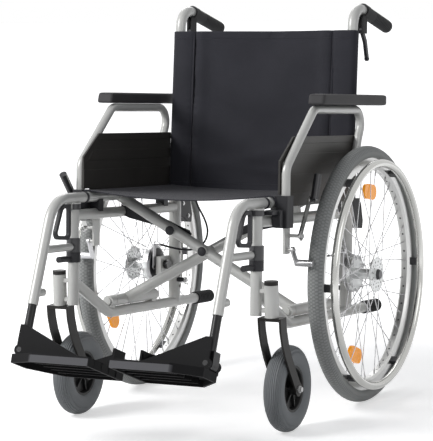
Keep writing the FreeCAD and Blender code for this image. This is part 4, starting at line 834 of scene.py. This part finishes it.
for side, sign in SIDES:
    fields = joined([slab_piece(*field, sign) for field in raised_fields])
    keep_piece(f"{side}_panel_fields", fields, panel_plastic, f"{side}_armrest", smooth=False)

# Fasteners: plated hex screws with a washer under the head, where the real chair is bolted together.
# Each is lathed or cut from six sides, set square to the face that it holds, and rides with it.
screw_steel = steel_finish("screw_steel", (0.5, 0.5, 0.5), 0.32)


def mirrored(profile):
    """The other half of a profile, from its far end back."""
    return [(radius, -height) for radius, height in profile[::-1]]


def frame_of(spot, way):
    """The matrix that puts a piece made along +Z at a spot, pointing a way."""
    turn = Vector(way).normalized().to_track_quat("Z", "Y").to_matrix().to_4x4()
    return Matrix.Translation(Vector(spot)) @ turn


def lathed(profile, spot, way, steps=32):
    """A bmesh turned round a line; the profile is pairs of radius and height along the line."""
    shape = bmesh.new()
    rims = [shape.verts.new((radius, 0, height)) for radius, height in profile]
    edges = [shape.edges.new(pair) for pair in zip(rims, rims[1:])]
    bmesh.ops.spin(
        shape, geom=rims + edges, cent=(0, 0, 0), axis=(0, 0, 1), angle=2 * math.pi, steps=steps,
        use_merge=True,
    )
    bmesh.ops.remove_doubles(shape, verts=shape.verts, dist=1e-6)
    bmesh.ops.recalc_face_normals(shape, faces=shape.faces)
    bmesh.ops.transform(shape, matrix=frame_of(spot, way), verts=shape.verts)
    return shape


def soft_edges(shape, width, segments=2, sharper=math.radians(30)):
    """Rounds the edges of a bmesh where its faces meet at more than a small angle."""
    inner = [edge for edge in shape.edges if len(edge.link_faces) == 2]
    bmesh.ops.bevel(
        shape, geom=[edge for edge in inner if edge.calc_face_angle(0) > sharper], offset=width,
        segments=segments, profile=0.5, affect="EDGES", material=-1, clamp_overlap=True,
    )
    return shape


def hex_screw(spot, way, radius=0.0045, high=0.003, washer=1.55):
    """A hexagon head on a washer, with a shallow round chamfer on top."""
    head = bmesh.new()
    bmesh.ops.create_cone(head, cap_ends=True, segments=6, radius1=radius, radius2=radius, depth=high)
    bmesh.ops.translate(head, verts=head.verts, vec=(0, 0, high / 2 + 0.0008))
    soft_edges(head, radius * 0.08)
    bmesh.ops.transform(head, matrix=frame_of(spot, way), verts=head.verts)
    wide = radius * washer
    plate = [(0, -0.0004), (wide, -0.0004), (wide, 0.0006), (wide - 0.0002, 0.0008), (0, 0.0008)]
    return joined([head, lathed(plate, spot, way, 24)])


def set_screws(name, body, places, **form):
    """One piece of several screws; each place is a spot and the way its head points."""
    screws = joined([hex_screw(spot, way, **form) for spot, way in places])
    return keep_piece(name, screws, screw_steel, body, smooth=False)


def outward(side_sign):
    return Vector((side_sign, 0, 0))


screw_out = 0.0047
panel_screws = ((-0.365, 0.215), (-0.365, 0.268), (0.028, 0.215))
big_screw = {"radius": 0.0062, "high": 0.004}
for side, sign in SIDES:
    out = outward(sign)
    lock_hold = [(leaning((0.2774 + screw_out) * sign, -0.327, 0.106), out)]
    set_screws(f"{side}_lock_screws", f"{side}_frame", lock_hold, washer=1.75, **big_screw)
    arm_hold = [(leaning((0.262 + screw_out) * sign, -0.334, 0.0746), out)]
    set_screws(f"{side}_lock_arm_screw", f"{side}_frame", arm_hold, radius=0.005)
    bolts = []
    for way in (1, -1):
        x = caster_x + (fork_half + 0.003) * way
        bolts.append((Vector((x * sign, caster_axle.y, caster_axle.z)), out * way))
    set_screws(f"{side}_caster_bolts", f"{side}_fork", bolts, washer=1.25, **big_screw)
    panel_holds = [(leaning(0.2553 * sign, back, up), out) for back, up in panel_screws]
    set_screws(f"{side}_panel_screws", f"{side}_armrest", panel_holds, radius=0.0036, high=0.0018)

# Brake levers: black moulded plastic, clamped below each hand grip. Each ends in a small round knob that
# is moulded with the lever.
knob = [(0, -0.0062), (0.0032, -0.0053), (0.0054, -0.0028), (0.0060, 0)]
knob += mirrored(knob[:-1])
for side, sign in SIDES:
    tip = lathed(knob, leaning(frame_x * sign, 0.1527, 0.5146), across_way, 24)
    keep_piece(f"{side}_lever_knob", tip, black_plastic, f"{side}_brake_hand")

# Caster wheels: a round grey tyre with fine rings round its crown, stretched over a black moulded hub
# with six webs on each side and a boss that runs on the axle bolt.
caster = Finish("caster_tyre", (0.115, 0.122, 0.128), 0.62)
offset = caster.run("ABSOLUTE", caster.xyz()[0]) - caster_axle.x
radius = near_line(caster, caster_axle, across_way)
ridge_pitch, ridges_from = 0.0041, 0.081
ridges = caster.run("SINE", offset * (2 * math.pi / ridge_pitch)) * (radius > ridges_from)
grain = caster.noise(500.0, 2.0)
cloud = caster.noise(7.0, 3.0)
caster.bump(ridges * 0.8 + grain * 0.15, 0.0018, 0.8)
caster.colour(caster.mix(cloud, (0.135, 0.145, 0.152), (0.19, 0.2, 0.208)))
caster.rough(grain * 0.15 + 0.52)
hub_plastic = plastic_finish("hub_plastic", (0.014, 0.014, 0.014), 0.4)
tyre_shape = [(0.052, -0.0150), (0.0545, -0.0178), (0.0600, -0.0203), (0.0670, -0.0217), (0.0740, -0.0220)]
tyre_shape += [(0.0810, -0.0211), (0.0870, -0.0188), (0.0920, -0.0154), (0.0953, -0.0112)]
hub_shape = [(0.0048, -0.0228), (0.0125, -0.0228), (0.0135, -0.0218), (0.0140, -0.0060), (0.0440, -0.0045)]
hub_shape += [(0.0462, -0.0140), (0.0475, -0.0158), (0.0525, -0.0158), (0.0535, -0.0150)]
tyre_shape.append((0.0972, -0.0060))
tyre_shape += [(0.0978, 0)] + mirrored(tyre_shape)
tyre_shape += [(0.0505, 0.0140), (0.0505, -0.0140), tyre_shape[0]]
hub_shape += mirrored(hub_shape)
webs = 6
for side, sign in SIDES:
    middle = Vector((caster_x * sign, caster_axle.y, caster_axle.z))
    tyre = lathed(tyre_shape, middle, across_way, 120)
    keep_piece(f"{side}_caster_tyre", tyre, caster, f"{side}_caster", f"{side}_caster_wheel")
    shapes = [lathed(hub_shape + [hub_shape[0]], middle, across_way, 96)]
    for k in range(webs):
        for way in (-1, 1):
            web = bmesh.new()
            bmesh.ops.create_cube(web, size=1)
            for vertex in web.verts:
                along = 0.0293 + vertex.co.z * 0.0325
                deep = 0.0035 + (0.0100 if vertex.co.z < 0 else 0.0075) * (vertex.co.x + 0.5)
                vertex.co = Vector((deep * way, vertex.co.y * 0.0036, along))
            bmesh.ops.recalc_face_normals(web, faces=web.faces)
            soft_edges(web, 0.0005)
            turn = Matrix.Translation(middle) @ Matrix.Rotation(k * 2 * math.pi / webs + 0.3, 4, "X")
            bmesh.ops.transform(web, matrix=turn, verts=web.verts)
            shapes.append(web)
    keep_piece(f"{side}_caster_hub", joined(shapes), hub_plastic, f"{side}_caster", smooth=False)

# Tipping levers: ribbed black rubber boots, moulded in one with a closed end and pushed on the rear ends
# of the lower rails, where a foot tips the chair back.
boot_long = 0.0837
boot_edge = [(0, 0), (0.0142, 0), (0.0156, 0.0012)]
for k in range(9):
    rib = 0.0040 + k * 0.0078
    boot_edge += [(0.0156, rib), (0.0160, rib + 0.0008), (0.0160, rib + 0.0042), (0.0156, rib + 0.0050)]
    boot_edge += [(0.0139, rib + 0.0056), (0.0139, rib + 0.0072)]
boot_edge += [(0.0158, boot_long - 0.0060), (0.0158, boot_long - 0.0026)]
boot_edge += [(0.0138, boot_long), (0, boot_long)]
for side, sign in SIDES:
    boot = lathed(boot_edge, leaning(frame_x * sign, 0.1503, -0.096), back_way, 48)
    keep_piece(f"{side}_boot", boot, rubber, f"{side}_frame", f"{side}_tipping_lever", smooth=False)

# Brake cables: a black sleeve over a steel wire runs from each lever's clamp down behind the back cloth
# and forward below the seat to the arm on the drum.
cable_route = [
    (0.215, 0.100, 0.572),
    (0.212, 0.076, 0.520),
    (0.209, 0.080, 0.340),
    (0.203, 0.072, 0.168),
    (0.152, 0.062, 0.100),
    (0.146, 0.046, 0.062),
    (0.163, 0.024, 0.038),
    (0.205, 0.008, 0.036),
    (0.251, -0.0152, 0.051),
]
for side, sign in SIDES:
    line = bpy.data.curves.new(f"{side}_cable_line", "CURVE")
    line.dimensions = "3D"
    run = line.splines.new("NURBS")
    run.points.add(len(cable_route) - 1)
    for spot, (x, back, up) in zip(run.points, cable_route):
        spot.co = (*leaning(x * sign, back, up), 1)
    run.order_u = 3
    run.use_endpoint_u = True
    run.resolution_u = 12
    line.bevel_depth = 0.0025
    line.bevel_resolution = 3
    line.use_fill_caps = True
    shape = bpy.data.objects.new(f"{side}_cable_line", line)
    skin = bpy.data.meshes.new_from_object(shape)
    cable = bmesh.new()
    cable.from_mesh(skin)
    bmesh.ops.remove_doubles(cable, verts=cable.verts, dist=1e-6)
    bmesh.ops.recalc_face_normals(cable, faces=cable.faces)
    bpy.data.batch_remove([shape, skin, line])
    cable_piece = keep_piece(f"{side}_cable", cable, black_plastic, None, f"{side}_brake_cable")
    held, pulled = (tuple(leaning(x * sign, back, up)) for x, back, up in cable_route[-2:])
    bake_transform(cable_piece)
    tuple(held)
    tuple(pulled)

# Cross brace caps and guide links: a black cap covers each bolt head of the brace, and a flat black link
# runs from each upper rail's lug past the cap, wider near the lug.
cap_edge = [(0, 0.0036), (0.0070, 0.0036), (0.0074, 0.0028), (0.0092, 0.0028), (0.0107, 0.0016)]
cap_edge += [(0.0110, -0.0004), (0, -0.0004)]
caps = [lathed(cap_edge, leaning(x, -0.2660, up), -back_way) for x, up in ((0, 0.0565), (-0.0856, 0.1024))]
keep_piece("front_brace_caps", joined(caps), black_plastic, "front_arm")
cap = lathed(cap_edge, leaning(0.0856, -0.1940, 0.1024), back_way)
keep_piece("rear_brace_cap", cap, black_plastic, "rear_arm")
link_edge = [(-9, -4), (-6, 9), (10, 12), (60, 11), (150, 10), (184, 12), (193, 6), (190, -6)]
link_edge += [(126, -10), (24, -29), (9, -29), (-6, -14)]
drop = math.radians(22.8)
lug_x, lug_up = 0.224, 0.163
link_thick = 0.0035
for side, sign, near in (("left", 1, -0.2285), ("right", -1, -0.2350)):
    ring = []
    for along, above in link_edge:
        x = lug_x - (along * math.cos(drop) + above * math.sin(drop)) / 1000
        up = lug_up + (above * math.cos(drop) - along * math.sin(drop)) / 1000
        ring.append(leaning(x * sign, near, up))
    link = soft_edges(drawn_out(ring, back_way * link_thick), 0.0008)
    pin = hex_screw(leaning(lug_x * sign, near - 0.0006, lug_up), -back_way, radius=0.005)
    keep_piece(f"{side}_link", link, black_plastic, f"{side}_guide", f"{side}_guide_link", smooth=False)
    keep_piece(f"{side}_link_screw", pin, screw_steel, f"{side}_guide", smooth=False)

# Front cradles: the armrest socket's black moulding runs forward along the upper rail, under the seat
# tube, in an upper part and a lower one that curves down behind the front upright.
upper = [(-0.4380, 0.1565), (-0.4380, 0.1640), (-0.4330, 0.1675), (-0.3925, 0.1675), (-0.3925, 0.1565)]
lower = [(-0.4090, 0.1280), (-0.4120, 0.1540), (-0.4060, 0.1670), (-0.3925, 0.1670), (-0.3925, 0.1262)]
cradle_parts = ((upper, 0.2415, 0.2625), (lower, 0.2478, 0.2690))
for side, sign in SIDES:
    cradle = joined([slab_piece(*part, sign, 0.0016) for part in cradle_parts])
    keep_piece(f"{side}_front_cradle", cradle, black_plastic, f"{side}_frame", smooth=False)

# Rear armrest receivers: a black moulded block behind each rear upright, open at the top for the
# armrest's rear end and bolted through the upright.
receiver = [(0.0492, 0.1760), (0.0492, 0.1180), (0.0700, 0.1130), (0.0880, 0.1030), (0.1120, 0.1010)]
receiver += [(0.1155, 0.1210), (0.1080, 0.1450), (0.1040, 0.1600), (0.0920, 0.1760)]
receiver_screws = ((0.066, 0.150), (0.094, 0.118))
for side, sign in SIDES:
    block = slab_piece(receiver, 0.2240, 0.2460, sign, 0.0022)
    keep_piece(f"{side}_rear_receiver", block, black_plastic, f"{side}_frame", smooth=False)
    holds = [(leaning(0.2236 * sign, back, up), outward(-sign)) for back, up in receiver_screws]
    set_screws(f"{side}_receiver_screws", f"{side}_frame", holds, radius=0.0034, high=0.0016)

# Stop bolts: on the inner face of each rear upright a plated screw in a black rubber sleeve. It stands
# square to the upright, bolted through it.
sleeve_edge = [(0, 0.0205), (0.0052, 0.0205), (0.0058, 0.0196), (0.0058, 0.0010), (0.0066, 0)]
sleeve_edge += [(0.0066, -0.0010), (0, -0.0010)]
for side, sign in SIDES:
    inward = outward(-sign)
    root = leaning(0.2215 * sign, 0.036, -0.040)
    keep_piece(f"{side}_stop_sleeve", lathed(sleeve_edge, root, inward), black_plastic, f"{side}_frame")
    tip = [(root + inward * 0.0207, inward)]
    set_screws(f"{side}_stop_screw", f"{side}_frame", tip, radius=0.0052, high=0.005)

# Seat-tube cradles: black moulded saddles clipped on each upper rail, on which the seat tubes rest when
# the chair is open. Each is hollow above for the seat tube and below for the rail.
saddle_wide, saddle_long = 0.0240, 0.022
saddle_hollow = 0.0129
rail_up = 0.142


def hollow_rise(offset):
    """How far the saddle's round hollow rises at a distance from its middle."""
    return math.sqrt(max(0.0, saddle_hollow**2 - offset**2))


for side, sign in SIDES:
    saddles = []
    for back in (-0.352, -0.030):
        saddle = bmesh.new()
        bmesh.ops.create_grid(saddle, x_segments=16, y_segments=1, size=0.5)
        for vertex in saddle.verts:
            across = vertex.co.x * saddle_wide
            along = back + vertex.co.y * saddle_long
            vertex.co = leaning(frame_x * sign + across, along, seat_tube_up - hollow_rise(across))
        filled = bmesh.ops.extrude_face_region(saddle, geom=list(saddle.faces))
        for vertex in [each for each in filled["geom"] if isinstance(each, bmesh.types.BMVert)]:
            height = (vertex.co - leaning(0, back, 0)).dot(up_way)
            under = rail_up + hollow_rise(vertex.co.x - frame_x * sign)
            vertex.co += up_way * (under - height)
        bmesh.ops.recalc_face_normals(saddle, faces=saddle.faces)
        saddles.append(soft_edges(saddle, 0.0008))
    keep_piece(f"{side}_saddles", joined(saddles), black_plastic, f"{side}_frame", smooth=False)

# Tube ends and bands: a black plug in the rear end of each seat tube, and the black band where the
# hanger's top tube meets the seat tube.
plug_radius = 0.0123
plug = [(0, 0.0026), (plug_radius * 0.55, 0.0024), (plug_radius * 0.9, 0.0014), (plug_radius, 0.0002)]
plug += [(plug_radius, -0.0005), (0, -0.0005)]
band = [(0.0121, 0), (0.0134, 0.0005), (0.0137, 0.0015)]
band += [(0.0137, 0.0075), (0.0134, 0.0085), (0.0121, 0.009)]
for (side, sign), arm in zip(SIDES, ("rear_arm", "front_arm")):
    end = lathed(plug, leaning(frame_x * sign, 0.0245, seat_tube_up), back_way)
    keep_piece(f"{side}_seat_tube_plugs", end, black_plastic, arm)
    ring = lathed(band, leaning(0.231 * sign, -0.4105, seat_tube_up), -back_way, 40)
    keep_piece(f"{side}_hanger_band", ring, black_plastic, f"{side}_hanger_unit")

# Studio: a pale floor that, where it is looked at, glows more the farther it lies from the chair, so that
# it runs into the white background and keeps the shadow, and three large soft lamps.
floor = bmesh.new()
bmesh.ops.create_grid(floor, x_segments=1, y_segments=1, size=30)
pale = Finish("pale_floor", (0.8, 0.8, 0.8), 0.9)
spread = pale.vectors("DISTANCE", pale.place(), (0, 0.1, 0), "Value")
far = pale.run("MINIMUM", pale.run("MAXIMUM", (spread - 0.8) * 0.9, 0.0), 1.0)
ray_kinds = ("Is Camera Ray", "Is Glossy Ray", "Is Transmission Ray")
looked_at = 0.0
for kind in ray_kinds:
    ray = pale.add("ShaderNodeLightPath", output=kind)
    looked_at = pale.run("MAXIMUM", ray, looked_at)
glow = pale.mix(far, (0.5,) * 3, (1, 1, 1))
glow = pale.mix(looked_at, (0, 0, 0), glow)
pale.feed(pale.shader.inputs["Emission Color"], glow)
pale.fix("Emission Strength", 1.0)
keep_piece("floor", floor, pale, None, smooth=False)

world = bpy.data.worlds.new("studio")
bpy.context.scene.world = world
world.use_nodes = True
tree = world.node_tree
background = tree.nodes["Background"]
seen = tree.nodes.new("ShaderNodeLightPath")
backdrop = tree.nodes.new("ShaderNodeBackground")
for light, tone, strength in ((background, (0.9, 0.93, 1.0), 0.24), (backdrop, (1, 1, 1), 1.0)):
    light.inputs["Color"].default_value = (*tone, 1)
    light.inputs["Strength"].default_value = strength
mixer = tree.nodes.new("ShaderNodeMixShader")
looked_at = seen.outputs[ray_kinds[0]]
for kind in ray_kinds[1:]:
    either = tree.nodes.new("ShaderNodeMath")
    either.operation = "MAXIMUM"
    tree.links.new(looked_at, either.inputs[0])
    tree.links.new(seen.outputs[kind], either.inputs[1])
    looked_at = either.outputs[0]
tree.links.new(looked_at, mixer.inputs[0])
tree.links.new(background.outputs[0], mixer.inputs[1])
tree.links.new(backdrop.outputs[0], mixer.inputs[2])
tree.links.new(mixer.outputs[0], tree.nodes["World Output"].inputs["Surface"])


def lamp(name, spot, aim, size, power):
    data = bpy.data.lights.new(name, "AREA")
    data.shape = "SQUARE"
    data.size = size
    data.energy = power
    piece = bpy.data.objects.new(name, data)
    piece.location = spot
    piece.rotation_euler = (Vector(aim) - Vector(spot)).to_track_quat("-Z", "Y").to_euler()
    bpy.context.collection.objects.link(piece)


lamp("lamp_over_front", (-2.4, -2.6, 2.9), (0, 0, 0.5), 1.8, 145)
lamp("lamp_side", (3.2, -1.2, 1.9), (0, 0, 0.5), 2.0, 18)
lamp("lamp_back", (-1.5, 2.6, 2.6), (0, 0, 0.5), 2.0, 30)

# Camera: the place, aim and lens were solved from the photograph with the rear wheel's known size. It
# stands in front of the chair on its left side and looks a little down.
view = bpy.data.cameras.new("camera")
view.lens = 172.4
view.sensor_width = 36
camera = bpy.data.objects.new("camera", view)
bpy.context.collection.objects.link(camera)
bpy.context.scene.camera = camera
yaw = math.radians(27.02)
pitch = math.radians(-6.91)
roll = math.radians(-1.37)
look = Vector((-math.sin(yaw) * math.cos(pitch), math.cos(yaw) * math.cos(pitch), math.sin(pitch)))
camera.location = (2.25079, -4.37915, 1.04476)
aimed = look.to_track_quat("-Z", "Y").to_matrix()
camera.rotation_euler = (aimed @ Matrix.Rotation(roll, 3, "Z")).to_euler()
view.clip_end = 100
bpy.context.scene.view_settings.view_transform = "Standard"
